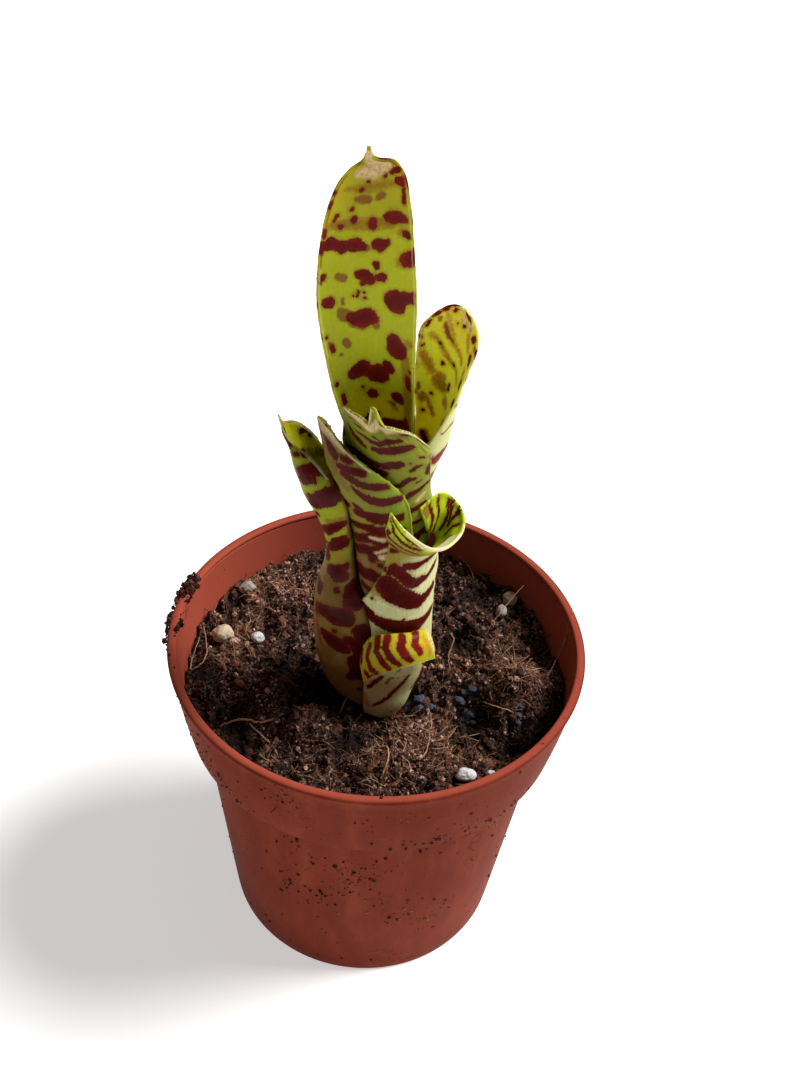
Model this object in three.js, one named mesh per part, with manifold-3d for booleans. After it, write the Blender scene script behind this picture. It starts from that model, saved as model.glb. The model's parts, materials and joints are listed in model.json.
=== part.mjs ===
// A young banded bromeliad (Neoregelia zotica) in a plastic nursery pot.
// Seven stiff leaves wrap one another round a short stem, which stands in peat and coir with perlite.
// Millimetres, +Z up, origin on the surface under the middle of the pot. The photograph looks along +Y.
import * as THREE from "three";
import { mergeVertices } from "three/addons/utils/BufferGeometryUtils.js";
import Module from "manifold-3d";

const wasm = await Module();
wasm.setup();

// Nursery pot: a tapered cup with a deeper, wider collar and a rolled lip.
const POT_HEIGHT = 94;
const RIM_RADIUS = 52.5;
const LIP_WIDTH = 2.3;
const LIP_HEIGHT = 1.5;
const COLLAR_HEIGHT = 23.5;
const COLLAR_TOP_RADIUS = 51.8;
const COLLAR_BOTTOM_RADIUS = 48.6;
const BODY_TOP_RADIUS = 45;
const BASE_RADIUS = 38;
const WALL = 1;
const FLOOR_THICKNESS = 1.4;
const FOOT_HEIGHT = 1.6;
const FOOT_WIDTH = 3.4;
const DRAIN_HOLES = 8;
const DRAIN_HOLE_RADIUS = 3.2;
const DRAIN_RING_RADIUS = 25;
const POT_SIDES = 64;
const LIP_EDGE = 0.5;
const BASE_EDGE = 0.9;
const COLLAR_STEP = 0.4;

// Clearance that touching pieces keep, and the leaf's thickness at its margins and along its middle.
const SEAT_GAP = 0.3;
const MARGIN_THICKNESS = 0.6;
const MIDDLE_THICKNESS = 0.8;

// Soil: its mean level, and the rings and spokes of its uneven top.
const SOIL_LEVEL = 81.5;
const SOIL_RINGS = 24;
const SOIL_SPOKES = 64;
const CRUMB_HEIGHT = 1.1;
const SOIL_CLEARANCE = SEAT_GAP + 0.1;
const NEAR_PLANT_LEVEL = 80.5;
const SAUCER_RADIUS = 9.5;

// Where the plant stands in the soil, and how the seat of its leaf bases widens upwards.
const PLANT_FOOT = { x: 3.3, y: -6.6 };
const SHEATH_BOTTOM = 75.5;
const SHEATH_SEAT = {
  x: 2.5,
  y: -6.9,
  radius: 8.05,
  brimRadius: 9.15,
  brim: 80.5,
  mouthRadius: 13,
  mouth: 88,
};

// Short stem, from its cut lower end in the soil to the growing point inside the leaves.
const STEM_BOTTOM = 62;
const STEM_TOP = 115;
const STEM_RADIUS = 4;

const COLOURS = {
  terracotta: 0xb4573f,
  soil: 0x35241c,
  stem: 0xc9c79a,
  leafGreen: 0xa7b32c,
  leafPale: 0xb9be86,
  leafTan: 0x8f7a48,
  perliteWhite: 0xe9e6de,
  perliteCream: 0xdccfae,
  perliteGrey: 0xa9a297,
};

const root = new THREE.Group();

function material(colour, roughness) {
  return new THREE.MeshStandardMaterial({ color: colour, roughness, metalness: 0 });
}

function addMesh(name, geometry, colour, roughness) {
  const mesh = new THREE.Mesh(geometry, material(colour, roughness));
  mesh.name = name;
  root.add(mesh);
}

// Closed geometry to a solid that can be joined or cut.
function toSolid(geometry) {
  const bare = geometry.clone();
  bare.deleteAttribute("normal");
  bare.deleteAttribute("uv");
  const merged = mergeVertices(bare, 1e-4);
  return new wasm.Manifold(
    new wasm.Mesh({
      numProp: 3,
      vertProperties: merged.attributes.position.array,
      triVerts: new Uint32Array(merged.index.array),
    }),
  );
}

function fromSolid(solid) {
  const mesh = solid.getMesh();
  const geometry = new THREE.BufferGeometry();
  geometry.setAttribute("position", new THREE.BufferAttribute(mesh.vertProperties, 3));
  geometry.setIndex(new THREE.BufferAttribute(mesh.triVerts, 1));
  geometry.computeVertexNormals();
  return geometry;
}

// A solid of revolution about +Z from a profile of [radius, height] points, given from bottom to top.
function turned(profile, sides) {
  const lathe = new THREE.LatheGeometry(profile.map(([r, z]) => new THREE.Vector2(r, z)), sides);
  lathe.rotateX(Math.PI / 2);
  return lathe;
}

// Repeatable random numbers from 0 to 1.
function seeded(seed) {
  let state = seed;
  return () => {
    state = (state + 0x6d2b79f5) | 0;
    let t = Math.imul(state ^ (state >>> 15), 1 | state);
    t = (t + Math.imul(t ^ (t >>> 7), 61 | t)) ^ t;
    return ((t ^ (t >>> 14)) >>> 0) / 4294967296;
  };
}

// Heights that the pot and the soil inside it share.
const COLLAR_BASE = POT_HEIGHT - COLLAR_HEIGHT;
const INNER_FLOOR = FOOT_HEIGHT + FLOOR_THICKNESS;
const LEDGE = COLLAR_BASE + WALL;
const INNER_BASE_RADIUS = BASE_RADIUS - WALL;
const INNER_BODY_RADIUS = BODY_TOP_RADIUS - WALL;
const INNER_COLLAR_RADIUS = COLLAR_BOTTOM_RADIUS - WALL;
const INNER_LIP_RADIUS = RIM_RADIUS - LIP_WIDTH;

function buildPot() {
  const profile = [
    [0, FOOT_HEIGHT],
    [BASE_RADIUS - FOOT_WIDTH, FOOT_HEIGHT],
    [BASE_RADIUS - FOOT_WIDTH, 0],
    [BASE_RADIUS - BASE_EDGE, 0],
    [BASE_RADIUS, BASE_EDGE],
    [BODY_TOP_RADIUS, COLLAR_BASE - COLLAR_STEP],
    [COLLAR_BOTTOM_RADIUS, COLLAR_BASE],
    [COLLAR_TOP_RADIUS, POT_HEIGHT - LIP_HEIGHT],
    [RIM_RADIUS, POT_HEIGHT - LIP_HEIGHT + LIP_EDGE / 2],
    [RIM_RADIUS, POT_HEIGHT - LIP_EDGE],
    [RIM_RADIUS - LIP_EDGE, POT_HEIGHT],
    [INNER_LIP_RADIUS, POT_HEIGHT],
    [INNER_LIP_RADIUS, POT_HEIGHT - LIP_HEIGHT],
    [INNER_COLLAR_RADIUS, LEDGE],
    [INNER_BODY_RADIUS, LEDGE],
    [INNER_BASE_RADIUS, INNER_FLOOR],
    [0, INNER_FLOOR],
  ];
  let pot = toSolid(turned(profile, POT_SIDES));
  for (let i = 0; i < DRAIN_HOLES; i += 1) {
    const angle = (i * 2 * Math.PI) / DRAIN_HOLES;
    const drill = new THREE.CylinderGeometry(DRAIN_HOLE_RADIUS, DRAIN_HOLE_RADIUS, 4 * INNER_FLOOR, 16);
    drill.rotateX(Math.PI / 2);
    drill.translate(DRAIN_RING_RADIUS * Math.cos(angle), DRAIN_RING_RADIUS * Math.sin(angle), 0);
    pot = pot.subtract(toSolid(drill));
  }
  addMesh("pot", fromSolid(pot), COLOURS.terracotta, 0.5);
}

// Lumps (height above 0) and pits (below 0) of the soil's surface: x, y, radius and height of each.
const SOIL_FORMS = [
  { x: -26, y: 24, radius: 17, height: 2.6 },
  { x: -23.5, y: -11.5, radius: 6.5, height: 3.4 },
  { x: -13.5, y: -22.5, radius: 8, height: 4.4 },
  { x: 35, y: -6, radius: 12, height: 5.4 },
  { x: 13, y: -31, radius: 14, height: 3 },
  { x: 24, y: 22, radius: 13, height: 1.8 },
  { x: -11, y: -9, radius: 10, height: -6.2 },
  { x: 12, y: -8, radius: 6.5, height: -3.4 },
  { x: 24, y: -13.5, radius: 6.5, height: -4.6 },
  { x: 36, y: -24, radius: 8.5, height: -5.2 },
  { x: 44, y: 11, radius: 10, height: -3.2 },
  { x: -36, y: -18, radius: 9, height: -2.4 },
];
// Height of the soil: its level, the lumps and pits, a crumbly ripple, and a saucer round the plant's foot.
function soilHeight(x, y) {
  let z = SOIL_LEVEL;
  for (const form of SOIL_FORMS) {
    const far = Math.hypot(x - form.x, y - form.y) / form.radius;
    z += form.height * Math.exp(-1.6 * far * far);
  }
  const crumbs =
    Math.sin(0.71 * x + 1.3 * Math.sin(0.37 * y)) * Math.cos(0.63 * y + 1.1 * Math.sin(0.41 * x)) +
    0.6 * Math.sin(1.57 * x - 0.9 * y) * Math.sin(1.21 * y + 0.4 * x) +
    0.7 * Math.sin(0.29 * x + 0.8 * Math.cos(0.23 * y)) * Math.sin(0.33 * y - 0.17 * x);
  z += CRUMB_HEIGHT * crumbs;
  const foot = Math.hypot(x - PLANT_FOOT.x, y - PLANT_FOOT.y);
  const saucer = Math.exp(-Math.pow(foot / SAUCER_RADIUS, 4));
  return z + saucer * Math.min(0, NEAR_PLANT_LEVEL - z);
}

function soilWallRadius(z) {
  const share = (z - LEDGE) / (POT_HEIGHT - LIP_HEIGHT - LEDGE);
  return INNER_COLLAR_RADIUS + share * (INNER_LIP_RADIUS - INNER_COLLAR_RADIUS) - SOIL_CLEARANCE;
}

// Soil as one closed body: a polar grid on top, the pot's inner form round it and a flat floor.
function soilGeometry() {
  const points = [];
  const faces = [];
  points.push([0, 0, soilHeight(0, 0)]);
  for (let ring = 1; ring <= SOIL_RINGS; ring += 1) {
    for (let spoke = 0; spoke < SOIL_SPOKES; spoke += 1) {
      const angle = ((spoke + 0.5 * (ring % 2)) * 2 * Math.PI) / SOIL_SPOKES;
      const radius = (soilWallRadius(SOIL_LEVEL) * ring) / SOIL_RINGS;
      const z = soilHeight(radius * Math.cos(angle), radius * Math.sin(angle));
      const reach = (radius * soilWallRadius(z)) / soilWallRadius(SOIL_LEVEL);
      points.push([reach * Math.cos(angle), reach * Math.sin(angle), z]);
    }
  }
  const sides = [
    [soilWallRadius(LEDGE + SEAT_GAP), LEDGE + SEAT_GAP],
    [INNER_BODY_RADIUS - SOIL_CLEARANCE, LEDGE + SEAT_GAP],
    [INNER_BASE_RADIUS - SOIL_CLEARANCE, INNER_FLOOR + SEAT_GAP],
  ];
  for (const [radius, z] of sides) {
    for (let spoke = 0; spoke < SOIL_SPOKES; spoke += 1) {
      const angle = (spoke * 2 * Math.PI) / SOIL_SPOKES;
      points.push([radius * Math.cos(angle), radius * Math.sin(angle), z]);
    }
  }
  points.push([0, 0, INNER_FLOOR + SEAT_GAP]);
  const ringStart = (ring) => 1 + (ring - 1) * SOIL_SPOKES;
  for (let spoke = 0; spoke < SOIL_SPOKES; spoke += 1) {
    const next = (spoke + 1) % SOIL_SPOKES;
    faces.push([0, ringStart(1) + spoke, ringStart(1) + next]);
    for (let ring = 1; ring < SOIL_RINGS + sides.length; ring += 1) {
      const inner = ringStart(ring);
      const outer = ringStart(ring + 1);
      const shifted = ring % 2 === 1 && ring < SOIL_RINGS;
      if (shifted) {
        faces.push([inner + spoke, outer + next, inner + next]);
        faces.push([inner + spoke, outer + spoke, outer + next]);
      } else {
        faces.push([inner + spoke, outer + spoke, inner + next]);
        faces.push([inner + next, outer + spoke, outer + next]);
      }
    }
    const last = ringStart(SOIL_RINGS + sides.length);
    faces.push([last + next, last + spoke, points.length - 1]);
  }
  return indexed(points, faces);
}

function indexed(points, faces) {
  const geometry = new THREE.BufferGeometry();
  geometry.setAttribute("position", new THREE.Float32BufferAttribute(points.flat(), 3));
  geometry.setIndex(faces.flat());
  geometry.computeVertexNormals();
  return geometry;
}

// Perlite and bark grains: where each lies, its half sizes and its turn. They sink a third into the soil.
const GRAINS = [
  { name: "perlite_1", x: -40.3, y: 5.2, size: [3.3, 2.4, 2.3], turn: 0.35, colour: "perliteCream" },
  { name: "perlite_2", x: -31.4, y: 6.2, size: [1.9, 1.7, 1.6], turn: 0.2, colour: "perliteWhite" },
  { name: "perlite_3", x: -37, y: 23.5, size: [3, 1.9, 1.7], turn: 0.1, colour: "perliteGrey" },
  { name: "perlite_4", x: 35.2, y: 29.6, size: [2.1, 2, 2.3], turn: 0.8, colour: "perliteCream" },
  { name: "perlite_5", x: 32.7, y: 23.2, size: [2, 1.6, 1.8], turn: 1.9, colour: "perliteGrey" },
  { name: "perlite_6", x: 23.5, y: -34.6, size: [2.7, 1.8, 1.7], turn: 0.25, colour: "perliteWhite" },
  { name: "perlite_7", x: 29.8, y: -31.6, size: [1.2, 1, 1], turn: 0.5, colour: "perliteWhite" },
];

const GRAIN_SINK = 1 / 3;
const GRAIN_KNOBS = 5;
const KNOB_HEIGHT = 0.16;

// A knobbly grain, swollen by extra on all sides when its seat is cut.
function grainGeometry(grain, seed, extra) {
  const random = seeded(seed);
  const bumps = Array.from({ length: GRAIN_KNOBS }, () =>
    new THREE.Vector3(random() - 0.5, random() - 0.5, random() - 0.5).normalize(),
  );
  const sphere = new THREE.IcosahedronGeometry(1, 1);
  const ball = mergeVertices(sphere.deleteAttribute("uv").deleteAttribute("normal"));
  const position = ball.attributes.position;
  const point = new THREE.Vector3();
  for (let i = 0; i < position.count; i += 1) {
    point.fromBufferAttribute(position, i).normalize();
    const knobs = bumps.reduce((sum, bump) => sum + Math.pow(Math.max(0, point.dot(bump)), 3), -0.6);
    const swell = 1 + KNOB_HEIGHT * knobs;
    point.set(
      point.x * (grain.size[0] * swell + extra),
      point.y * (grain.size[1] * swell + extra),
      point.z * (grain.size[2] * swell + extra),
    );
    position.setXYZ(i, point.x, point.y, point.z);
  }
  ball.rotateZ(grain.turn);
  ball.translate(grain.x, grain.y, soilHeight(grain.x, grain.y) + grain.size[2] * GRAIN_SINK);
  ball.computeVertexNormals();
  return ball;
}

function buildSoilAndGrains() {
  const stemHole = turned(
    [
      [0, STEM_BOTTOM - SEAT_GAP],
      [STEM_RADIUS + SEAT_GAP, STEM_BOTTOM - SEAT_GAP],
      [STEM_RADIUS + SEAT_GAP, POT_HEIGHT],
      [0, POT_HEIGHT],
    ],
    24,
  );
  stemHole.translate(PLANT_FOOT.x, PLANT_FOOT.y, 0);
  const sheathHole = turned(
    [
      [0, SHEATH_BOTTOM - SEAT_GAP],
      [SHEATH_SEAT.radius, SHEATH_BOTTOM - SEAT_GAP],
      [SHEATH_SEAT.brimRadius, SHEATH_SEAT.brim],
      [SHEATH_SEAT.mouthRadius, SHEATH_SEAT.mouth],
      [0, SHEATH_SEAT.mouth],
    ],
    32,
  );
  sheathHole.translate(SHEATH_SEAT.x, SHEATH_SEAT.y, 0);
  let soil = toSolid(soilGeometry()).subtract(toSolid(stemHole)).subtract(toSolid(sheathHole));
  GRAINS.forEach((grain, index) => {
    const seed = 11 + 7 * index;
    soil = soil.subtract(toSolid(grainGeometry(grain, seed, SEAT_GAP)));
    addMesh(grain.name, grainGeometry(grain, seed, 0), COLOURS[grain.colour], 0.9);
  });
  addMesh("soil", fromSolid(soil), COLOURS.soil, 0.95);
}

function buildStem() {
  const profile = [
    [0, STEM_BOTTOM],
    [STEM_RADIUS - 0.8, STEM_BOTTOM],
    [STEM_RADIUS, STEM_BOTTOM + 1.5],
    [STEM_RADIUS, PLANT_AXIS[0][0]],
    [STEM_RADIUS, 92],
    [STEM_RADIUS - 0.4, 104],
    [STEM_RADIUS - 1.1, 111],
    [STEM_RADIUS - 2.4, STEM_TOP - 1],
    [0, STEM_TOP],
  ];
  const stem = turned(profile, 24);
  const position = stem.attributes.position;
  for (let i = 0; i < position.count; i += 1) {
    const axis = plantAxis(position.getZ(i));
    position.setX(i, position.getX(i) + axis.x);
    position.setY(i, position.getY(i) + axis.y);
  }
  addMesh("stem", fromSolid(toSolid(stem)), COLOURS.stem, 0.6);
}

// The plant's axis leans a little to the left as it rises: height, x and y.
const PLANT_AXIS = [
  [84, PLANT_FOOT.x, PLANT_FOOT.y],
  [98, 4, -6.6],
  [112, 3.4, -6.5],
  [125, 2.7, -6.4],
  [150, 1, -5.9],
];

function plantAxis(z) {
  const top = PLANT_AXIS.findIndex(([height]) => z < height);
  if (top === 0) return { x: PLANT_AXIS[0][1], y: PLANT_AXIS[0][2] };
  const [z1, x1, y1] = PLANT_AXIS.at(top < 0 ? -1 : top);
  const [z0, x0, y0] = PLANT_AXIS.at(top < 0 ? -2 : top - 1);
  const share = (z - z0) / (z1 - z0);
  return { x: x0 + share * (x1 - x0), y: y0 + share * (y1 - y0) };
}

// A row is one section across a leaf: a function from 0 (first margin) to 1 (second margin) to a point.
// wrap is a round sheath section: it faces the bearing given in degrees and reaches so far to each side.
function wrap(z, radius, bearing, before, after = before, shift = [0, 0]) {
  const axis = plantAxis(z);
  const from = THREE.MathUtils.degToRad(bearing - before);
  const to = THREE.MathUtils.degToRad(bearing + after);
  return (share) => {
    const angle = from + share * (to - from);
    return new THREE.Vector3(
      axis.x + shift[0] + radius * Math.cos(angle),
      axis.y + shift[1] + radius * Math.sin(angle),
      z,
    );
  };
}

// arc is a blade section: the circle through its first margin, its middle and its second margin.
function arc(first, middle, second) {
  const [a, b, c] = [first, middle, second].map((p) => new THREE.Vector3(...p));
  const ab = b.clone().sub(a);
  const ac = c.clone().sub(a);
  const normal = ab.clone().cross(ac);
  const centre = normal.clone().cross(ab).multiplyScalar(ac.lengthSq());
  centre.add(ac.clone().cross(normal).multiplyScalar(ab.lengthSq()));
  centre.divideScalar(2 * normal.lengthSq()).add(a);
  const spoke = a.clone().sub(centre);
  const axis = normal.normalize();
  const side = axis.clone().cross(spoke);
  const end = c.clone().sub(centre);
  const sweep = (Math.atan2(end.dot(side), end.dot(spoke)) + 2 * Math.PI) % (2 * Math.PI);
  return (share) =>
    centre
      .clone()
      .addScaledVector(spoke, Math.cos(share * sweep))
      .addScaledVector(side, Math.sin(share * sweep));
}

// trail is a free section: a smooth line through the points given, from margin to margin.
function trail(...points) {
  const line = new THREE.CatmullRomCurve3(points.map((p) => new THREE.Vector3(...p)), false, "centripetal");
  return (share) => line.getPoint(share);
}

// Leaf skin: the rows joined from the base to the tip by smooth lines, with steps across and along.
function leafSkin(rows, across, along) {
  const columns = [];
  for (let i = 0; i <= across; i += 1) {
    const line = new THREE.CatmullRomCurve3(rows.map((row) => row(i / across)), false, "centripetal");
    columns.push(Array.from({ length: along + 1 }, (_, j) => line.getPoint(j / along)));
  }
  return columns;
}

// The skin is the leaf's outer face; its inner face lies one leaf thickness further in.
function leafGeometry(rows, across, along) {
  const skin = leafSkin(rows, across, along);
  const clampAcross = (i) => Math.min(across, Math.max(0, i));
  const clampAlong = (j) => Math.min(along, Math.max(0, j));
  const points = [];
  const at = (i, j, face) => (i * (along + 1) + j) * 2 + face;
  for (let i = 0; i <= across; i += 1) {
    for (let j = 0; j <= along; j += 1) {
      const wide = skin[clampAcross(i + 1)][j].clone().sub(skin[clampAcross(i - 1)][j]);
      const long = skin[i][clampAlong(j + 1)].clone().sub(skin[i][clampAlong(j - 1)]);
      const outward = wide.cross(long).normalize();
      const middle = 1 - Math.pow(Math.abs((2 * i) / across - 1), 3);
      const thickness = MARGIN_THICKNESS + middle * (MIDDLE_THICKNESS - MARGIN_THICKNESS);
      points.push(skin[i][j].toArray());
      points.push(skin[i][j].clone().addScaledVector(outward, -thickness).toArray());
    }
  }
  const faces = [];
  const quad = (a, b, c, d) => faces.push([a, b, c], [a, c, d]);
  for (let i = 0; i < across; i += 1) {
    for (let j = 0; j < along; j += 1) {
      quad(at(i, j, 0), at(i + 1, j, 0), at(i + 1, j + 1, 0), at(i, j + 1, 0));
      faces.push([at(i, j, 1), at(i + 1, j + 1, 1), at(i + 1, j, 1)]);
      faces.push([at(i, j, 1), at(i, j + 1, 1), at(i + 1, j + 1, 1)]);
    }
    quad(at(i, 0, 0), at(i, 0, 1), at(i + 1, 0, 1), at(i + 1, 0, 0));
    quad(at(i, along, 1), at(i, along, 0), at(i + 1, along, 0), at(i + 1, along, 1));
  }
  for (let j = 0; j < along; j += 1) {
    quad(at(0, j, 1), at(0, j, 0), at(0, j + 1, 0), at(0, j + 1, 1));
    quad(at(across, j, 0), at(across, j, 1), at(across, j + 1, 1), at(across, j + 1, 0));
  }
  return indexed(points, faces);
}

// Tall upright leaf at the back, with a blunt end and a spine.
const TALL_LEAF = [
  wrap(112, 4.5, 95, 150),
  wrap(125, 5.2, 95, 150),
  wrap(140, 6.4, 95, 135),
  wrap(150, 7.2, 97, 118),
  arc([5.5, -7.5, 159], [-2, 0.4, 159], [-8.4, -7, 158.5]),
  arc([4.8, -5.8, 167], [-3.3, -0.4, 167], [-11.6, -5.8, 166]),
  arc([4.2, -5.3, 176], [-4.8, -0.5, 176], [-13.9, -5.5, 175.5]),
  arc([3.6, -4.9, 190.5], [-6.3, -0.6, 190], [-16.2, -5.2, 190]),
  arc([2.3, -4.5, 202.5], [-6.9, -0.4, 201], [-15.9, -4.8, 201]),
  arc([1.1, -4.1, 211], [-7.2, -0.3, 209.5], [-14.6, -4.2, 209]),
  arc([-0.4, -3.9, 217], [-7.3, -0.3, 214.5], [-12.9, -2.8, 213.6]),
  arc([-2.2, -2.8, 218.9], [-7.4, -0.2, 216.9], [-10.8, -1.4, 216.1]),
  arc([-5.6, -0.9, 218.4], [-7.4, -0.3, 218], [-9, -0.6, 217.3]),
  arc([-7, -0.7, 219], [-7.4, -0.8, 218.9], [-7.8, -0.7, 218.8]),
  arc([-7.25, -1.4, 220.6], [-7.4, -1.45, 220.6], [-7.55, -1.4, 220.6]),
];

// Leaf at the right, behind the tall one, with a crumpled dry tip.
const RIGHT_LEAF = [
  wrap(106, 4.9, 20, 150),
  wrap(112, 5.7, 20, 150),
  wrap(125, 6.5, 20, 140),
  wrap(140, 7.7, 15, 120),
  wrap(150, 8.4, 10, 105, 105, [0.5, 0.5]),
  arc([8.1, -10.5, 160.5], [12.7, -4.6, 159], [5, 2.2, 158]),
  arc([12.3, -8.8, 168], [13.4, -2.2, 168], [4.5, 2.1, 167]),
  arc([14.8, -6.4, 175], [13.2, 0.2, 175.5], [4.4, 2, 176]),
  arc([16.5, -4.6, 180.6], [12.6, 1.3, 181.5], [4.9, 1.8, 182.2]),
  arc([16.6, -3, 183.6], [12.6, 1.5, 185.5], [7.2, 1.2, 185.8]),
  arc([15.4, -1.4, 186.2], [13.2, 1.1, 187.6], [10.4, 0.9, 188.1]),
  arc([14.4, -0.8, 187], [13.7, -0.1, 187.4], [13, 0.1, 188]),
  arc([14.9, -2.2, 185.6], [14.6, -2, 185.9], [14.3, -1.9, 186.2]),
];

// Leaf in front of the tall one, short, with a spine at the middle of its upper edge.
const FRONT_LEAF = [
  wrap(98, 5.3, -100, 150),
  wrap(112, 6.9, -100, 150),
  wrap(125, 7.7, -100, 140),
  wrap(140, 8.9, -100, 120, 106),
  wrap(150, 9.7, -102, 95, 74),
  arc([-10, -8.6, 159], [-1.6, -15.4, 159], [9.1, -12.3, 155.8]),
  arc([-9.9, -9.4, 164], [-2.2, -15.7, 164], [8.9, -12.4, 159]),
  trail(
    [-10, -9.6, 168.2],
    [-8.2, -12.2, 168.7],
    [-5.8, -14.3, 168.7],
    [-4.5, -15.1, 168.1],
    [-3.9, -14.7, 171.8],
    [-2.2, -15.8, 168.7],
    [1.2, -15.9, 168],
    [4.8, -14.7, 166.3],
    [8.7, -12.5, 161.7],
  ),
];

// Narrow folded leaf at the front left, whose near margin runs down across the plant.
const FOLDED_LEAF = [
  wrap(90, 5.4, 205, 150),
  wrap(98, 6.6, 205, 150),
  wrap(112, 8.1, 205, 145),
  wrap(125, 8.9, 205, 125),
  wrap(130.5, 9.4, 205, 104, 110),
  wrap(136, 9.9, 205, 80, 95),
  arc([-8.6, -1.8, 145], [-9.4, -9.5, 143], [4.8, -16.4, 149.4]),
  arc([-10.4, -3.8, 151], [-11.2, -10.4, 149], [1.3, -17.3, 154.5]),
  arc([-11.6, -5.8, 156.5], [-12.8, -11, 154], [-3.4, -17.3, 158.1]),
  arc([-12.6, -7.4, 160.4], [-13.8, -11, 158.6], [-8.4, -15.6, 161.2]),
  arc([-13.8, -8.8, 163.6], [-14.6, -10.4, 162.6], [-12.1, -13.1, 164]),
  arc([-15, -9.5, 165.5], [-15.4, -9.9, 165.4], [-15.1, -10.3, 165.8]),
];

// Outer leaf at the left: a swollen sheath, a narrow waist and a channelled blade.
const SWOLLEN_LEAF = [
  wrap(SHEATH_BOTTOM, 5.45, 180, 150),
  wrap(77, 6, 180, 150, 150, [-0.7, 0]),
  wrap(80, 6.6, 180, 136, 136, [-2.6, 0.2]),
  wrap(84, 7.5, 180, 125, 125, [-6.5, 0.2]),
  wrap(90, 8.4, 180, 118, 118, [-8.8, 0.3]),
  wrap(97, 9.4, 180, 114, 114, [-9.7, 0.3]),
  wrap(105, 9.7, 180, 114, 114, [-9.7, 0.3]),
  wrap(112, 9.3, 180, 111, 111, [-9.7, 0.2]),
  wrap(118, 7.3, 180, 112, 112, [-10.7, -0.2]),
  wrap(123, 4.9, 180, 116, 116, [-11.6, -0.8]),
  arc([-8.7, -3.2, 132], [-12.9, -8, 129.5], [-7.6, -12.2, 133.5]),
  arc([-9.5, -3.2, 140], [-14.4, -8, 138], [-7.9, -14.2, 141.3]),
  arc([-11.6, -3.4, 147], [-17.7, -7.8, 146.5], [-8.7, -15.5, 147.6]),
  arc([-14.2, -4, 153], [-19.6, -7.6, 152.5], [-11.9, -14.9, 152.6]),
  arc([-17.4, -4.4, 158.2], [-21.2, -7.6, 156.4], [-16.5, -12.6, 156.8]),
  arc([-20.4, -5, 160.8], [-23, -7, 159.4], [-21.2, -9, 158.3]),
  arc([-23.2, -5.9, 161.2], [-23.6, -6.3, 161], [-23.5, -6.7, 160.8]),
  arc([-24, -6, 162.8], [-24.1, -6.1, 162.8], [-24.1, -6.3, 162.8]),
];

// Main sheath at the front and right, whose end flares into a small cup.
const CUPPED_LEAF = [
  wrap(84, 5.4, -50, 140),
  wrap(90, 7.4, -50, 135),
  wrap(98, 9, -50, 128),
  wrap(108, 9.3, -50, 115),
  wrap(115, 9.5, -52, 96),
  wrap(121, 10, -56, 66),
  arc([0.4, -16.6, 129], [9.6, -13.9, 128], [12.6, -5.4, 129]),
  arc([1.8, -17.3, 137], [9.8, -15, 134], [12.3, -5.6, 134]),
  trail(
    [0.8, -18.1, 142.8],
    [5, -19.2, 139.6],
    [10.8, -18.4, 137.6],
    [14.6, -13.4, 138],
    [14.2, -9.6, 139],
    [12, -9.8, 140],
    [10, -12.7, 140.4],
  ),
  trail(
    [2, -18.3, 148.9],
    [5.8, -20, 145.4],
    [11.4, -20.6, 142.3],
    [16, -14.8, 142],
    [15.8, -9.6, 143.8],
    [12.8, -9.2, 146.8],
    [9.3, -13, 145.9],
  ),
];

// Lowest and smallest leaf, at the front right: its end folds outwards and its dry tip points right.
const FOOT_LEAF = [
  wrap(SHEATH_BOTTOM, 6.85, -88, 32, 22),
  wrap(80, 7.7, -76, 46, 20, [-1.1, -0.6]),
  wrap(85, 8.7, -77, 45, 33, [-0.9, -1.2]),
  wrap(90, 9.2, -78, 44, 41, [-1, -1.2]),
  wrap(96, 9.9, -79, 44, 44, [-0.6, -1.3]),
  wrap(102, 10.4, -77, 45, 45, [-0.4, -1.3]),
  trail([-2.4, -16.8, 106.4], [-0.6, -17.4, 109.7], [3.2, -17.9, 111], [8, -16.6, 110.9], [11.6, -13.6, 110]),
  trail([-3, -18.3, 103], [0, -20, 106.8], [4.6, -20.8, 108.6], [9.4, -19, 109], [13.1, -15.3, 107.6]),
  trail([-2, -18.6, 96.2], [0.6, -20.2, 100.6], [4.8, -20.8, 103.9], [9, -19.9, 105.2], [13.8, -15.2, 102.8]),
];

const LEAVES = [
  { name: "leaf_1_tall", rows: TALL_LEAF, across: 12, along: 20, colour: COLOURS.leafGreen },
  { name: "leaf_2_right", rows: RIGHT_LEAF, across: 12, along: 18, colour: COLOURS.leafGreen },
  { name: "leaf_3_front", rows: FRONT_LEAF, across: 16, along: 16, colour: COLOURS.leafGreen },
  { name: "leaf_4_folded", rows: FOLDED_LEAF, across: 12, along: 16, colour: COLOURS.leafPale },
  { name: "leaf_5_swollen", rows: SWOLLEN_LEAF, across: 14, along: 20, colour: COLOURS.leafTan },
  { name: "leaf_6_cupped", rows: CUPPED_LEAF, across: 16, along: 18, colour: COLOURS.leafPale },
  { name: "leaf_7_foot", rows: FOOT_LEAF, across: 12, along: 16, colour: COLOURS.leafPale },
];

buildPot();
buildSoilAndGrains();
buildStem();
for (const leaf of LEAVES) {
  addMesh(leaf.name, leafGeometry(leaf.rows, leaf.across, leaf.along), leaf.colour, 0.4);
}

export default root;
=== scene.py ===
import json
import math

import bmesh
import bpy
import numpy as np
from mathutils import Matrix, Vector

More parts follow.
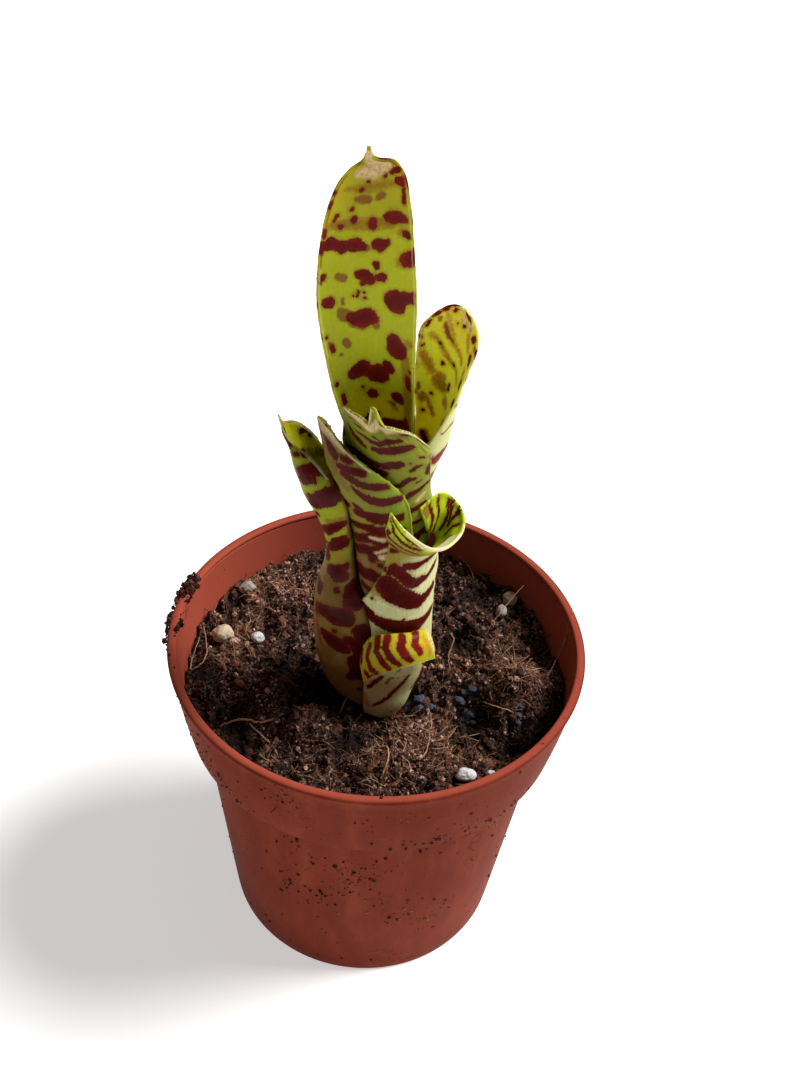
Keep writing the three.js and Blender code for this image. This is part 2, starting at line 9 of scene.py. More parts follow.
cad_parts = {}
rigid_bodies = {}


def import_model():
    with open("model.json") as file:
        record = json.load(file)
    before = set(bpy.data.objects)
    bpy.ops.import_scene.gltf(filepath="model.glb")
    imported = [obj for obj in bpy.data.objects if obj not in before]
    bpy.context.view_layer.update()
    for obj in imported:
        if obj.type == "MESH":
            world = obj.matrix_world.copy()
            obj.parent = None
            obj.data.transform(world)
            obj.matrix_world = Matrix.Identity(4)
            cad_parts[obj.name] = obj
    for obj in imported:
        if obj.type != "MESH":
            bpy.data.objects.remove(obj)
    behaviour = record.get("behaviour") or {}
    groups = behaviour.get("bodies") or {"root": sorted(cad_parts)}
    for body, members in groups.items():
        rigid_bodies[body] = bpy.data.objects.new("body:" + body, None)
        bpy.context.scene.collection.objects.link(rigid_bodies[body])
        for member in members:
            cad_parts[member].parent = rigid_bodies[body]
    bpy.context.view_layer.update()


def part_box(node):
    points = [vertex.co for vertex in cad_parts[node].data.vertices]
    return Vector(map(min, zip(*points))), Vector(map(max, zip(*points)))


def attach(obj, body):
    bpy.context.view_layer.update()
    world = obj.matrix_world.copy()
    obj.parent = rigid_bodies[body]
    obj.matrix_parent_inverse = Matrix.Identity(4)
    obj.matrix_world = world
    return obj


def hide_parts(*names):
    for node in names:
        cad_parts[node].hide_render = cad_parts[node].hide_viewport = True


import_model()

bl_info = {
    "name": "Banded bromeliad in a nursery pot",
    "version": (1, 0, 0),
    "blender": (4, 5, 0),
    "location": "3D view > Sidebar > Bromeliad",
    "description": "Dresses the plant, its soil and its pot with smooth leaves, bands, crumbs, roots and plastic",
    "category": "Object",
}

# Sizes in this script are in millimetres until a mesh is made, and MM turns them into metres.
MM = 0.001

# Pot, read from the frame: its height, rim, and the heights that the wall and the soil share.
POT_LOW, POT_HIGH = (np.array(corner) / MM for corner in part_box("pot"))
POT_HEIGHT = POT_HIGH[2]
RIM_RADIUS = (POT_HIGH[0] - POT_LOW[0]) / 2
COLLAR_HEIGHT = 23.5
COLLAR_BASE = POT_HEIGHT - COLLAR_HEIGHT
COLLAR_TOP_RADIUS = 51.8
COLLAR_BOTTOM_RADIUS = 48.6
BODY_TOP_RADIUS = 45
BASE_RADIUS = 38
WALL = 1
LIP_WIDTH = 2.3
LIP_HEIGHT = 1.5
INNER_FLOOR = 3
FOOT_HEIGHT = 1.6
FOOT_WIDTH = 3.4
INNER_LIP_RADIUS = RIM_RADIUS - LIP_WIDTH

# Where the plant stands, and the seat of its leaf bases in the soil: centre, floor, brim and mouth.
PLANT_FOOT = np.array((3.3, -6.6))
SEAT_CENTRE = np.array((2.5, -6.9))
SEAT_FLOOR = 75.2
SEAT_RADIUS = 8.05
SEAT_BRIM = 80.5
SEAT_BRIM_RADIUS = 9.15
STEM_BOTTOM = 62
STEM_TOP = 115
STEM_RADIUS = 4
SEAT_GAP = 0.3


# Meshes

def new_piece(name, points, faces, smooth=True):
    """A mesh object at the origin from points in millimetres."""
    mesh = bpy.data.meshes.new(name)
    mesh.from_pydata((np.asarray(points, float) * MM).tolist(), [], [tuple(map(int, face)) for face in faces])
    mesh.polygons.foreach_set("use_smooth", [smooth] * len(mesh.polygons))
    mesh.update()
    piece = bpy.data.objects.new(name, mesh)
    bpy.context.scene.collection.objects.link(piece)
    return piece


def store(mesh, name, values):
    """Keeps one number or one vector for each point under a name that a material can read."""
    values = np.asarray(values, np.float32)
    if values.ndim == 2:
        attribute = mesh.attributes.new(name, "FLOAT_VECTOR", "POINT")
        attribute.data.foreach_set("vector", values.ravel())
    else:
        attribute = mesh.attributes.new(name, "FLOAT", "POINT")
        attribute.data.foreach_set("value", values)


def merge_points(mesh, distance=0.002):
    """Joins points that lie on one another, such as those at a closed end."""
    work = bmesh.new()
    work.from_mesh(mesh)
    bmesh.ops.remove_doubles(work, verts=work.verts, dist=distance * MM)
    bmesh.ops.dissolve_degenerate(work, edges=work.edges, dist=distance * MM / 4)
    work.to_mesh(mesh)
    work.free()


def ring_faces(rings, around, closed_ends=True):
    """Quads of a closed tube whose rings each hold the same number of points."""
    ring, place = np.meshgrid(np.arange(rings - 1), np.arange(around), indexing="ij")
    here = ring * around + place
    beside = ring * around + (place + 1) % around
    faces = np.stack((here, beside, beside + around, here + around), axis=-1).reshape(-1, 4).tolist()
    if closed_ends:
        faces.append(list(range(around))[::-1])
        faces.append(list(range((rings - 1) * around, rings * around)))
    return faces


def finish_piece(piece, slot, *nodes):
    """Attaches a finished piece to the root body and hides the nodes that it stands for. slot, its material slot,
    is not used.
    """
    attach(piece, "root")
    for node in nodes:
        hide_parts(node)


def ripple(x, y, size, seed):
    """Smooth random height from -1 to 1 over a plane. size is the distance between its knots."""
    knots = 64
    table = np.random.default_rng(seed).uniform(-1, 1, (knots, knots))
    column, row = np.floor(x / size).astype(int), np.floor(y / size).astype(int)
    u, v = x / size - column, y / size - row
    u, v = u * u * (3 - 2 * u), v * v * (3 - 2 * v)
    low = table[column % knots, row % knots] * (1 - u) + table[(column + 1) % knots, row % knots] * u
    high = table[column % knots, (row + 1) % knots] * (1 - u) + table[(column + 1) % knots,
                                                                      (row + 1) % knots] * u
    return low * (1 - v) + high * v


def ease(value, low, high):
    """0 below low, 1 above high and smooth between them."""
    share = np.clip((value - low) / (high - low), 0, 1)
    return share * share * (3 - 2 * share)


# Materials

class Value:
    """A number that varies over a surface. Sums on it add Math nodes to the tree that it belongs to."""

    def __init__(self, finish, socket):
        self.finish = finish
        self.socket = socket

    def sum(self, operation, *numbers):
        inputs = {place: number for place, number in enumerate(numbers)}
        return self.finish.value("ShaderNodeMath", {"operation": operation}, inputs)

    def __add__(self, other):
        return self.sum("ADD", self, other)

    def __radd__(self, other):
        return self.sum("ADD", other, self)

    def __sub__(self, other):
        return self.sum("SUBTRACT", self, other)

    def __rsub__(self, other):
        return self.sum("SUBTRACT", other, self)

    def __mul__(self, other):
        return self.sum("MULTIPLY", self, other)

    def __rmul__(self, other):
        return self.sum("MULTIPLY", other, self)

    def most(self, other):
        return self.sum("MAXIMUM", self, other)

    def ease(self, low, high):
        """0 below low, 1 above high and smooth between them. low may be the larger."""
        inputs = {"Value": self, "From Min": low, "From Max": high, "To Min": 0, "To Max": 1}
        return self.finish.value("ShaderNodeMapRange", {"interpolation_type": "SMOOTHSTEP"}, inputs)


class Finish:
    """A material under construction."""

    def __init__(self, name, **constants):
        self.material = bpy.data.materials.new(name)
        self.material.use_nodes = True
        self.tree = self.material.node_tree
        self.tree.nodes.clear()
        self.shader = self.add("ShaderNodeBsdfPrincipled", {}, constants)
        self.add("ShaderNodeOutputMaterial", {}, {"Surface": self.shader.outputs["BSDF"]})

    def add(self, kind, settings, inputs):
        """Any node: its settings come first, then the values or links of its sockets."""
        node = self.tree.nodes.new(kind)
        for name, setting in settings.items():
            setattr(node, name, setting)
        for name, given in inputs.items():
            self.feed(node.inputs[name], given)
        return node

    def feed(self, socket, given):
        if isinstance(given, Value):
            self.tree.links.new(given.socket, socket)
        elif isinstance(given, bpy.types.NodeSocket):
            self.tree.links.new(given, socket)
        else:
            socket.default_value = given

    def value(self, kind, settings, inputs, output=0):
        return Value(self, self.add(kind, settings, inputs).outputs[output])

    def attribute(self, name):
        return self.value("ShaderNodeAttribute", {"attribute_name": name}, {}, "Fac")

    def vector_attribute(self, name, stretch=(1, 1, 1)):
        vector = self.add("ShaderNodeAttribute", {"attribute_name": name}, {}).outputs["Vector"]
        return self.stretched(vector, stretch)

    def place(self, stretch=(1, 1, 1)):
        """Object coordinates in millimetres, stretched along each axis."""
        vector = self.add("ShaderNodeTexCoord", {}, {}).outputs["Object"]
        return self.stretched(vector, [part / MM for part in stretch])

    def stretched(self, vector, stretch):
        inputs = {0: vector, 1: tuple(stretch)}
        return self.add("ShaderNodeVectorMath", {"operation": "MULTIPLY"}, inputs).outputs[0]

    def noise(self, vector, scale, detail=2, roughness=0.5):
        inputs = {"Vector": vector, "Scale": scale, "Detail": detail, "Roughness": roughness}
        return self.value("ShaderNodeTexNoise", {}, inputs)

    def cells(self, vector, scale):
        """How far a point lies from the nearest of scattered points."""
        return self.value("ShaderNodeTexVoronoi", {}, {"Vector": vector, "Scale": scale}, "Distance")

    def mix(self, share, first, second):
        """A colour between two colours."""
        first = (*first, 1) if isinstance(first, tuple) and len(first) == 3 else first
        second = (*second, 1) if isinstance(second, tuple) and len(second) == 3 else second
        return self.add("ShaderNodeMix", {"data_type": "RGBA"}, {0: share, 6: first, 7: second}).outputs[2]

    def bump(self, height, distance, strength=1):
        inputs = {"Height": height, "Distance": distance * MM, "Strength": strength}
        return self.add("ShaderNodeBump", {}, inputs).outputs["Normal"]

    def done(self, **inputs):
        for name, given in inputs.items():
            self.feed(self.shader.inputs[name.replace("_", " ")], given)
        return self.material


# Leaf shapes: the same sections as the solids have

PLANT_AXIS = ((84, 3.3, -6.6), (98, 4, -6.6), (112, 3.4, -6.5), (125, 2.7, -6.4), (150, 1, -5.9))


def plant_axis(z):
    """The plant's axis leans a little to the left as it rises."""
    heights, xs, ys = zip(*PLANT_AXIS)
    return np.array((np.interp(z, heights, xs), np.interp(z, heights, ys)))


def wrap(z, radius, bearing, before, after=None, shift=(0, 0)):
    """A round sheath section that faces a bearing and reaches so many degrees to each side."""
    after = before if after is None else after
    centre = plant_axis(z) + shift

    def row(share):
        angle = np.radians(bearing - before + share * (before + after))
        across = centre[0] + radius * np.cos(angle)
        deep = centre[1] + radius * np.sin(angle)
        return np.stack((across, deep, np.full_like(angle, z)), axis=-1)

    return row


def arc(first, middle, second):
    """A blade section: the circle through its first margin, its middle and its second margin."""
    a, b, c = (np.array(point, float) for point in (first, middle, second))
    ab, ac = b - a, c - a
    normal = np.cross(ab, ac)
    lean = np.cross(normal, ab) * ac.dot(ac) + np.cross(ac, normal) * ab.dot(ab)
    centre = a + lean / (2 * normal.dot(normal))
    spoke = a - centre
    side = np.cross(normal / np.linalg.norm(normal), spoke)
    end = c - centre
    sweep = math.atan2(end.dot(side), end.dot(spoke)) % (2 * math.pi)

    def row(share):
        turn = (share * sweep)[..., None]
        return centre + np.cos(turn) * spoke + np.sin(turn) * side

    return row


def smooth_line(points, places):
    """A centripetal Catmull-Rom line through points, read at places from 0 to 1."""
    points = np.asarray(points, float)
    padded = np.concatenate((2 * points[:1] - points[1:2], points, 2 * points[-1:] - points[-2:-1]))
    place = np.asarray(places, float) * (len(points) - 1)
    start = np.minimum(place.astype(int), len(points) - 2)
    w = (place - start).reshape((-1,) + (1,) * (points.ndim - 1))
    p0, p1, p2, p3 = (padded[start + step] for step in range(4))
    d0, d1, d2 = (
        np.sqrt(np.linalg.norm(after - before, axis=-1, keepdims=True))
        for before, after in ((p0, p1), (p1, p2), (p2, p3))
    )
    d1 = np.where(d1 < 1e-4, 1, d1)
    d0 = np.where(d0 < 1e-4, d1, d0)
    d2 = np.where(d2 < 1e-4, d1, d2)
    t1 = ((p1 - p0) / d0 - (p2 - p0) / (d0 + d1) + (p2 - p1) / d1) * d1
    t2 = ((p2 - p1) / d1 - (p3 - p1) / (d1 + d2) + (p3 - p2) / d2) * d1
    return p1 + w * (t1 + w * (-3 * p1 + 3 * p2 - 2 * t1 - t2 + w * (2 * p1 - 2 * p2 + t1 + t2)))


def trail(*points):
    """A free section: a smooth line through the points given, from margin to margin."""
    return lambda share: smooth_line(points, share)


SHEATH_BOTTOM = 75.5

TALL_SECTIONS = [
    wrap(112, 4.5, 95, 150), wrap(125, 5.2, 95, 150), wrap(140, 6.4, 95, 135), wrap(150, 7.2, 97, 118),
    arc([5.5, -7.5, 159], [-2, 0.4, 159], [-8.4, -7, 158.5]),
    arc([4.8, -5.8, 167], [-3.3, -0.4, 167], [-11.6, -5.8, 166]),
    arc([4.2, -5.3, 176], [-4.8, -0.5, 176], [-13.9, -5.5, 175.5]),
    arc([3.6, -4.9, 190.5], [-6.3, -0.6, 190], [-16.2, -5.2, 190]),
    arc([2.3, -4.5, 202.5], [-6.9, -0.4, 201], [-15.9, -4.8, 201]),
    arc([1.1, -4.1, 211], [-7.2, -0.3, 209.5], [-14.6, -4.2, 209]),
    arc([-0.4, -3.9, 217], [-7.3, -0.3, 214.5], [-12.9, -2.8, 213.6]),
    arc([-2.2, -2.8, 218.9], [-7.4, -0.2, 216.9], [-10.8, -1.4, 216.1]),
    arc([-5.6, -0.9, 218.4], [-7.4, -0.3, 218], [-9, -0.6, 217.3]),
    arc([-7, -0.7, 219], [-7.4, -0.8, 218.9], [-7.8, -0.7, 218.8]),
    arc([-7.25, -1.4, 220.6], [-7.4, -1.45, 220.6], [-7.55, -1.4, 220.6]),
]
RIGHT_SECTIONS = [
    wrap(106, 4.9, 20, 150), wrap(112, 5.7, 20, 150), wrap(125, 6.5, 20, 140), wrap(140, 7.7, 15, 120),
    wrap(150, 8.4, 10, 105, 105, [0.5, 0.5]),
    arc([8.1, -10.5, 160.5], [12.7, -4.6, 159], [5, 2.2, 158]),
    arc([12.3, -8.8, 168], [13.4, -2.2, 168], [4.5, 2.1, 167]),
    arc([14.8, -6.4, 175], [13.2, 0.2, 175.5], [4.4, 2, 176]),
    arc([16.5, -4.6, 180.6], [12.6, 1.3, 181.5], [4.9, 1.8, 182.2]),
    arc([16.6, -3, 183.6], [12.6, 1.5, 185.5], [7.2, 1.2, 185.8]),
    arc([15.4, -1.4, 186.2], [13.2, 1.1, 187.6], [10.4, 0.9, 188.1]),
    arc([14.4, -0.8, 187], [13.7, -0.1, 187.4], [13, 0.1, 188]),
    arc([14.9, -2.2, 185.6], [14.6, -2, 185.9], [14.3, -1.9, 186.2]),
]
FRONT_SECTIONS = [
    wrap(98, 5.3, -100, 150), wrap(112, 6.9, -100, 150), wrap(125, 7.7, -100, 140),
    wrap(140, 8.9, -100, 120, 106), wrap(150, 9.7, -102, 95, 74),
    arc([-10, -8.6, 159], [-1.6, -15.4, 159], [9.1, -12.3, 155.8]),
    arc([-9.9, -9.4, 164], [-2.2, -15.7, 164], [8.9, -12.4, 159]),
    trail(
        [-10, -9.6, 168.2],
        [-8.2, -12.2, 168.7],
        [-5.8, -14.3, 168.7],
        [-4.5, -15.1, 168.1],
        [-3.9, -14.7, 171.8],
        [-2.2, -15.8, 168.7],
        [1.2, -15.9, 168],
        [4.8, -14.7, 166.3],
        [8.7, -12.5, 161.7],
    ),
]
FOLDED_SECTIONS = [
    wrap(90, 5.4, 205, 150), wrap(98, 6.6, 205, 150), wrap(112, 8.1, 205, 145), wrap(125, 8.9, 205, 125),
    wrap(130.5, 9.4, 205, 104, 110), wrap(136, 9.9, 205, 80, 95),
    arc([-8.6, -1.8, 145], [-9.4, -9.5, 143], [4.8, -16.4, 149.4]),
    arc([-10.4, -3.8, 151], [-11.2, -10.4, 149], [1.3, -17.3, 154.5]),
    arc([-11.6, -5.8, 156.5], [-12.8, -11, 154], [-3.4, -17.3, 158.1]),
    arc([-12.6, -7.4, 160.4], [-13.8, -11, 158.6], [-8.4, -15.6, 161.2]),
    arc([-13.8, -8.8, 163.6], [-14.6, -10.4, 162.6], [-12.1, -13.1, 164]),
    arc([-15, -9.5, 165.5], [-15.4, -9.9, 165.4], [-15.1, -10.3, 165.8]),
]
SWOLLEN_SECTIONS = [
    wrap(SHEATH_BOTTOM, 5.45, 180, 150), wrap(77, 6, 180, 150, 150, [-0.7, 0]),
    wrap(80, 6.6, 180, 136, 136, [-2.6, 0.2]), wrap(84, 7.5, 180, 125, 125, [-6.5, 0.2]),
    wrap(90, 8.4, 180, 118, 118, [-8.8, 0.3]), wrap(97, 9.4, 180, 114, 114, [-9.7, 0.3]),
    wrap(105, 9.7, 180, 114, 114, [-9.7, 0.3]), wrap(112, 9.3, 180, 111, 111, [-9.7, 0.2]),
    wrap(118, 7.3, 180, 112, 112, [-10.7, -0.2]), wrap(123, 4.9, 180, 116, 116, [-11.6, -0.8]),
    arc([-8.7, -3.2, 132], [-12.9, -8, 129.5], [-7.6, -12.2, 133.5]),
    arc([-9.5, -3.2, 140], [-14.4, -8, 138], [-7.9, -14.2, 141.3]),
    arc([-11.6, -3.4, 147], [-17.7, -7.8, 146.5], [-8.7, -15.5, 147.6]),
    arc([-14.2, -4, 153], [-19.6, -7.6, 152.5], [-11.9, -14.9, 152.6]),
    arc([-17.4, -4.4, 158.2], [-21.2, -7.6, 156.4], [-16.5, -12.6, 156.8]),
    arc([-20.4, -5, 160.8], [-23, -7, 159.4], [-21.2, -9, 158.3]),
    arc([-23.2, -5.9, 161.2], [-23.6, -6.3, 161], [-23.5, -6.7, 160.8]),
    arc([-24, -6, 162.8], [-24.1, -6.1, 162.8], [-24.1, -6.3, 162.8]),
]
CUPPED_SECTIONS = [
    wrap(84, 5.4, -50, 140), wrap(90, 7.4, -50, 135), wrap(98, 9, -50, 128), wrap(108, 9.3, -50, 115),
    wrap(115, 9.5, -52, 96), wrap(121, 10, -56, 66),
    arc([0.4, -16.6, 129], [9.6, -13.9, 128], [12.6, -5.4, 129]),
    arc([1.8, -17.3, 137], [9.8, -15, 134], [12.3, -5.6, 134]),
    trail(
        [0.8, -18.1, 142.8],
        [5, -19.2, 139.6],
        [10.8, -18.4, 137.6],
        [14.6, -13.4, 138],
        [14.2, -9.6, 139],
        [12, -9.8, 140],
        [9.4, -12.9, 140.4],
    ),
    trail(
        [2, -18.3, 148.9],
        [5.8, -20, 145.4],
        [11.4, -20.6, 142.3],
        [16, -14.8, 142],
        [15.8, -9.6, 143.8],
        [12.8, -9.2, 146.8],
        [8.5, -13.5, 145.8],
    ),
]
FOOT_SECTIONS = [
    wrap(SHEATH_BOTTOM, 6.85, -88, 32, 22),
    wrap(80, 7.7, -76, 46, 14, [-1.1, -0.6]),
    wrap(85, 8.7, -77, 45, 27, [-0.9, -1.2]),
    wrap(90, 9.2, -78, 44, 37, [-1, -1.2]),
    wrap(96, 9.9, -79, 44, 44, [-0.6, -1.3]),
    wrap(102, 10.4, -77, 45, 45, [-0.4, -1.3]),
    trail([-2.4, -16.8, 106.4], [-0.6, -17.4, 109.7], [3.2, -17.9, 111], [8, -16.6, 110.9],
          [11.6, -13.6, 110]),
    trail([-3, -18.3, 103], [0, -20, 106.8], [4.6, -20.8, 108.6], [9.4, -19, 109], [13.1, -15.3, 107.6]),
    trail([-2, -18.6, 96.2], [0.6, -20.2, 100.6], [4.8, -20.8, 103.9], [9, -19.9, 105.2],
          [13.8, -15.2, 102.8]),
]

# Markings. A stroke is a list of (across, along, radius): across is measured from the leaf's middle line and
# along from its base, in millimetres. maroon is the dark pigment, blush is a thinner red, scorch is the soft
# olive brown and husk is dry cream tissue. seen is the stretch across that strokes cover (low, high, from);
# past it the bands follow a rule. A rim is (side, start, stop, width): a line of that width along the low or
# high margin or along the end.

TALL_MARKS = {
    "inner": {
        "maroon": [
            [(0.2, 109.6, 0.25)], [(-3.9, 106.2, 0.45)], [(-4, 104.3, 0.4), (-6.2, 104.8, 0.55)],
            [(-2.6, 103.6, 0.35)], [(1, 102.8, 0.25)], [(-5.6, 102.7, 0.5), (-7, 102.5, 0.8)],
            [(-7.6, 101, 0.35), (-7.7, 99.2, 0.5)], [(8.2, 102, 0.3)], [(8.8, 100.2, 0.3), (9, 99, 0.35)],
            [(3.8, 97.4, 0.33)], [(7, 96.6, 0.42)], [(2.1, 101.2, 0.35)],
            [(-4, 95.6, 0.8), (-5.2, 95.6, 1.2), (-6.3, 95.8, 1.1), (-8.4, 95.5, 0.5)],
            [(9.8, 93.8, 0.4), (10, 92.8, 0.45)], [(-8.4, 92.8, 0.6), (-9.4, 92.4, 0.6)],
            [(10.4, 91.4, 0.35), (10.4, 89.2, 0.25)],
            [(9.7, 90.7, 0.95), (8.3, 90.9, 1.3), (6.8, 90.2, 0.9), (5.4, 89.7, 1.3), (4.2, 89.8, 1),
             (2.6, 89.8, 1.35), (1.2, 89.4, 0.8)],
            [(-1.7, 89.9, 0.9), (-2.6, 89.8, 1.25), (-4, 90.4, 0.6)],
            [(-10.2, 88, 1.4), (-8.4, 87.4, 1.2)], [(-1.8, 85.8, 0.5), (-2, 85.1, 0.4)],
            [(9.9, 83.9, 0.6)], [(10.6, 83, 0.3)],
            [(1.8, 83.5, 0.8), (0.7, 83.2, 1.2), (-0.5, 82.4, 1.05)], [(1.1, 81.5, 0.4)],
            [(-2.4, 82.9, 0.7), (-3.2, 83.1, 0.8)], [(2.1, 79.6, 0.16)], [(2.2, 78.8, 0.2)],
            [(0.7, 79.5, 0.14)], [(3.2, 78.8, 0.12)], [(0.7, 78.4, 0.18)], [(3.1, 95.2, 0.6)],
            [(6, 94, 0.5)], [(-0.8, 94.6, 0.7), (-0.8, 93.6, 0.65)], [(7.6, 95.7, 0.3)],
            [(9.5, 78.2, 0.9), (8.5, 78, 1.1)],
            [(4, 74, 0.9), (3, 73.6, 1.3), (1.4, 73.6, 1.9), (0.2, 74.1, 1.8), (-1, 73.6, 0.8)],
            [(-5, 78.4, 1.4), (-6.2, 78.4, 2.45), (-8.5, 79.8, 1.15), (-10.2, 80.3, 0.8)],
            [(-10.9, 81.3, 0.33), (-10.9, 79.5, 0.25)], [(9.2, 68.3, 0.55), (8.9, 67.5, 0.4)],
            [(10.3, 70.8, 0.25)], [(-5.6, 69.2, 1.7), (-6, 68.1, 2.6)],
            [(4.9, 61, 1.1), (3.7, 61.3, 1.4), (2.2, 62.1, 1.6), (1.2, 61, 1.2), (-0.2, 60.6, 1.9),
             (-1.1, 60.7, 2.2)], [(-3.3, 63.1, 0.95), (-3.9, 62.4, 1.05)],
            [(-8.9, 61.7, 0.6), (-8.9, 60, 0.8)], [(-9.6, 63.7, 0.3)], [(9.4, 60.1, 0.4)],
            [(1.1, 55.6, 1.05)], [(3, 57.4, 0.2)], [(8.4, 56.9, 0.4), (8.5, 55.6, 0.6)],
            [(-4.4, 55.3, 1), (-5.5, 55.5, 1.3)], [(1.9, 49.9, 0.9), (3.3, 49.5, 0.7)], [(4.3, 49, 0.6)],
            [(1.7, 47.8, 0.9), (-0.4, 47.4, 1), (-2.9, 47.4, 1.15), (-5.7, 48.2, 1.25), (-6.6, 50.2, 0.6)],
        ],
        "blush": [
            [(2.8, 99.4, 0.7), (1.6, 99.2, 0.95), (0.5, 99, 0.9)], [(-1.6, 99.5, 0.7), (-2.5, 99.8, 0.75)],
            [(6.4, 83.4, 0.8), (5.2, 82.9, 0.95)], [(5.5, 78.2, 0.45), (5.6, 77.2, 0.4)],
            [(6.2, 75.6, 0.9), (5.6, 74.8, 1.5), (4.2, 74.2, 1.4), (3.2, 73, 1.5), (1.7, 71.3, 0.5)],
            [(-1.2, 73.6, 1.1), (-1.5, 72, 0.8)], [(5.6, 68.6, 0.95), (5.2, 67.9, 0.9)],
            [(7.1, 66.1, 0.45)], [(9.6, 69.2, 0.6), (8.9, 67.6, 0.6)], [(0.2, 89, 0.7)], [(10, 83.8, 0.8)],
            [(-3.4, 53.4, 0.6)], [(6.6, 94.4, 0.4)],
        ],
        "scorch": [
            [(8.6, 94.6, 0.7), (5.2, 94.5, 1.2), (1.8, 94.1, 1.4), (-1.6, 94.1, 1.4), (-4.8, 94.6, 1.1)],
            [(5.5, 102.2, 0.5), (2.5, 101.6, 0.8), (0, 101.4, 0.8), (-2, 101.7, 0.8), (-5.1, 102.2, 0.5)],
            [(-7.3, 92.7, 0.9)], [(-7, 86.6, 0.9)], [(-9.2, 70, 1), (-10.5, 70.2, 0.8)],
            [(-3.6, 52.4, 0.9), (-2.2, 54, 0.4)], [(-1.6, 85, 0.2), (-1.7, 82, 0.2)],
            # The olive stroke along the right side, from 49 to 66 mm, is partly the leaf's olive tint and partly
            # painted shade.
            [(-8.4, 66, 1.4), (-8.6, 56, 1.6), (-7.6, 49, 1.8)], [(-6.6, 105.6, 0.4), (-3, 107, 0.3)],
        ],
        "husk": [[(-3.2, 105.6, 1.1), (0, 104.6, 1.5), (3.2, 105, 1)], [(0, 106.6, 1.6), (0, 109, 0.9)]],
        "cream": [('high', 46, 86, 0.32), ('low', 62, 101, 0.3)],
        "brown": [('high', 86, 105, 0.5), ('low', 100, 106, 0.4), ('high', 60, 66, 0.4)],
        "seen": (-14, 14, 44),
    },
}
RIGHT_MARKS = {
    "inner": {
        "maroon": [
            [(5.3, 81.3, 0.4), (6, 80.4, 0.4)], [(4, 82, 0.6)], [(6.7, 78.8, 0.35), (7, 77.3, 0.4)],
            [(1.8, 82.6, 0.5), (1.9, 81.7, 0.35)], [(0.3, 79, 0.18)], [(-1.5, 79.3, 0.42)],
            [(8.1, 74.3, 0.45)], [(7.4, 72.3, 0.32)], [(2.5, 68.8, 0.4)], [(5.4, 61.6, 0.28)],
            [(8, 57.2, 0.3)], [(0.2, 64.6, 0.25), (0.6, 63.4, 0.28)],
            [(-5.4, 78.2, 0.75), (-5.9, 79.2, 0.6)], [(-7, 77.2, 0.33), (-7.5, 76.8, 0.4)],
            [(-6.8, 74.2, 0.85), (-7.1, 73.6, 0.75)], [(-5.6, 68.5, 0.4), (-4.8, 66.6, 0.45)],
            [(-2.9, 62.3, 0.4), (-1.8, 60.5, 0.35)], [(1.5, 55.9, 0.3), (2.5, 54.4, 0.36)],
            [(8, 51.2, 0.35), (6, 48.6, 0.62), (4.6, 47.8, 0.55)], [(9, 68, 0.3)], [(9.4, 62, 0.35)],
            [(-0.7, 69.5, 0.3)], [(3.3, 73.2, 0.25)],
        ],
        "blush": [
            [(3, 78.1, 0.3), (2.2, 76.7, 0.55), (1.3, 75.2, 0.45), (0.4, 74.5, 0.3)],
            [(8.5, 63.9, 0.5), (8.6, 63, 0.6)], [(4.6, 79.6, 0.55), (4.4, 78.8, 0.4)], [(-1.6, 82.4, 0.3)],
        ],
        "scorch": [
            [(5.3, 74.8, 0.8), (4, 74.1, 0.65), (3, 72.6, 0.65), (1.8, 71.1, 0.7), (0.4, 69.9, 0.7),
             (-0.8, 69.3, 0.6), (-1.8, 68.3, 0.5), (-2.5, 66.3, 0.4)],
            [(3, 78.4, 0.5), (2, 76.4, 0.85), (0.4, 74.5, 0.7), (-1.4, 73.2, 0.55), (-2.8, 72.2, 0.5),
             (-3.5, 71.1, 0.4)], [(7.5, 70.4, 1), (6.2, 68.6, 1.2), (5.4, 66.9, 0.95)],
            [(3.2, 64.6, 2.1), (2.3, 63.4, 1.3)], [(1.5, 60.8, 0.8), (1.6, 59.9, 0.9)],
            [(6.5, 60, 0.5), (6, 58.3, 0.5), (5.6, 56.5, 0.45)], [(7.7, 60.6, 1.3)],
            [(3.1, 80.5, 0.35), (1.5, 77.7, 0.4), (0.2, 75.7, 0.35)], [(7.4, 51, 1.1), (5.2, 48.2, 1)],
            [(-5.6, 71, 0.5), (-4.6, 66, 0.4)], [(-3.6, 78, 0.6), (-4.6, 75, 0.5)],
        ],
        "husk": [
            [(-0.8, 80.4, 0.8), (-2, 81.5, 1.2), (-2, 84, 1.3), (-3.4, 79.4, 0.6)],
            [(0, 84, 1.2), (0, 87, 1.4)],
        ],
        "cream": [('high', 50, 78, 0.25), ('low', 56, 80, 0.35)],
        "brown": [('high', 70, 84, 0.3)],
        "seen": (-12, 13, 44),
    },
}
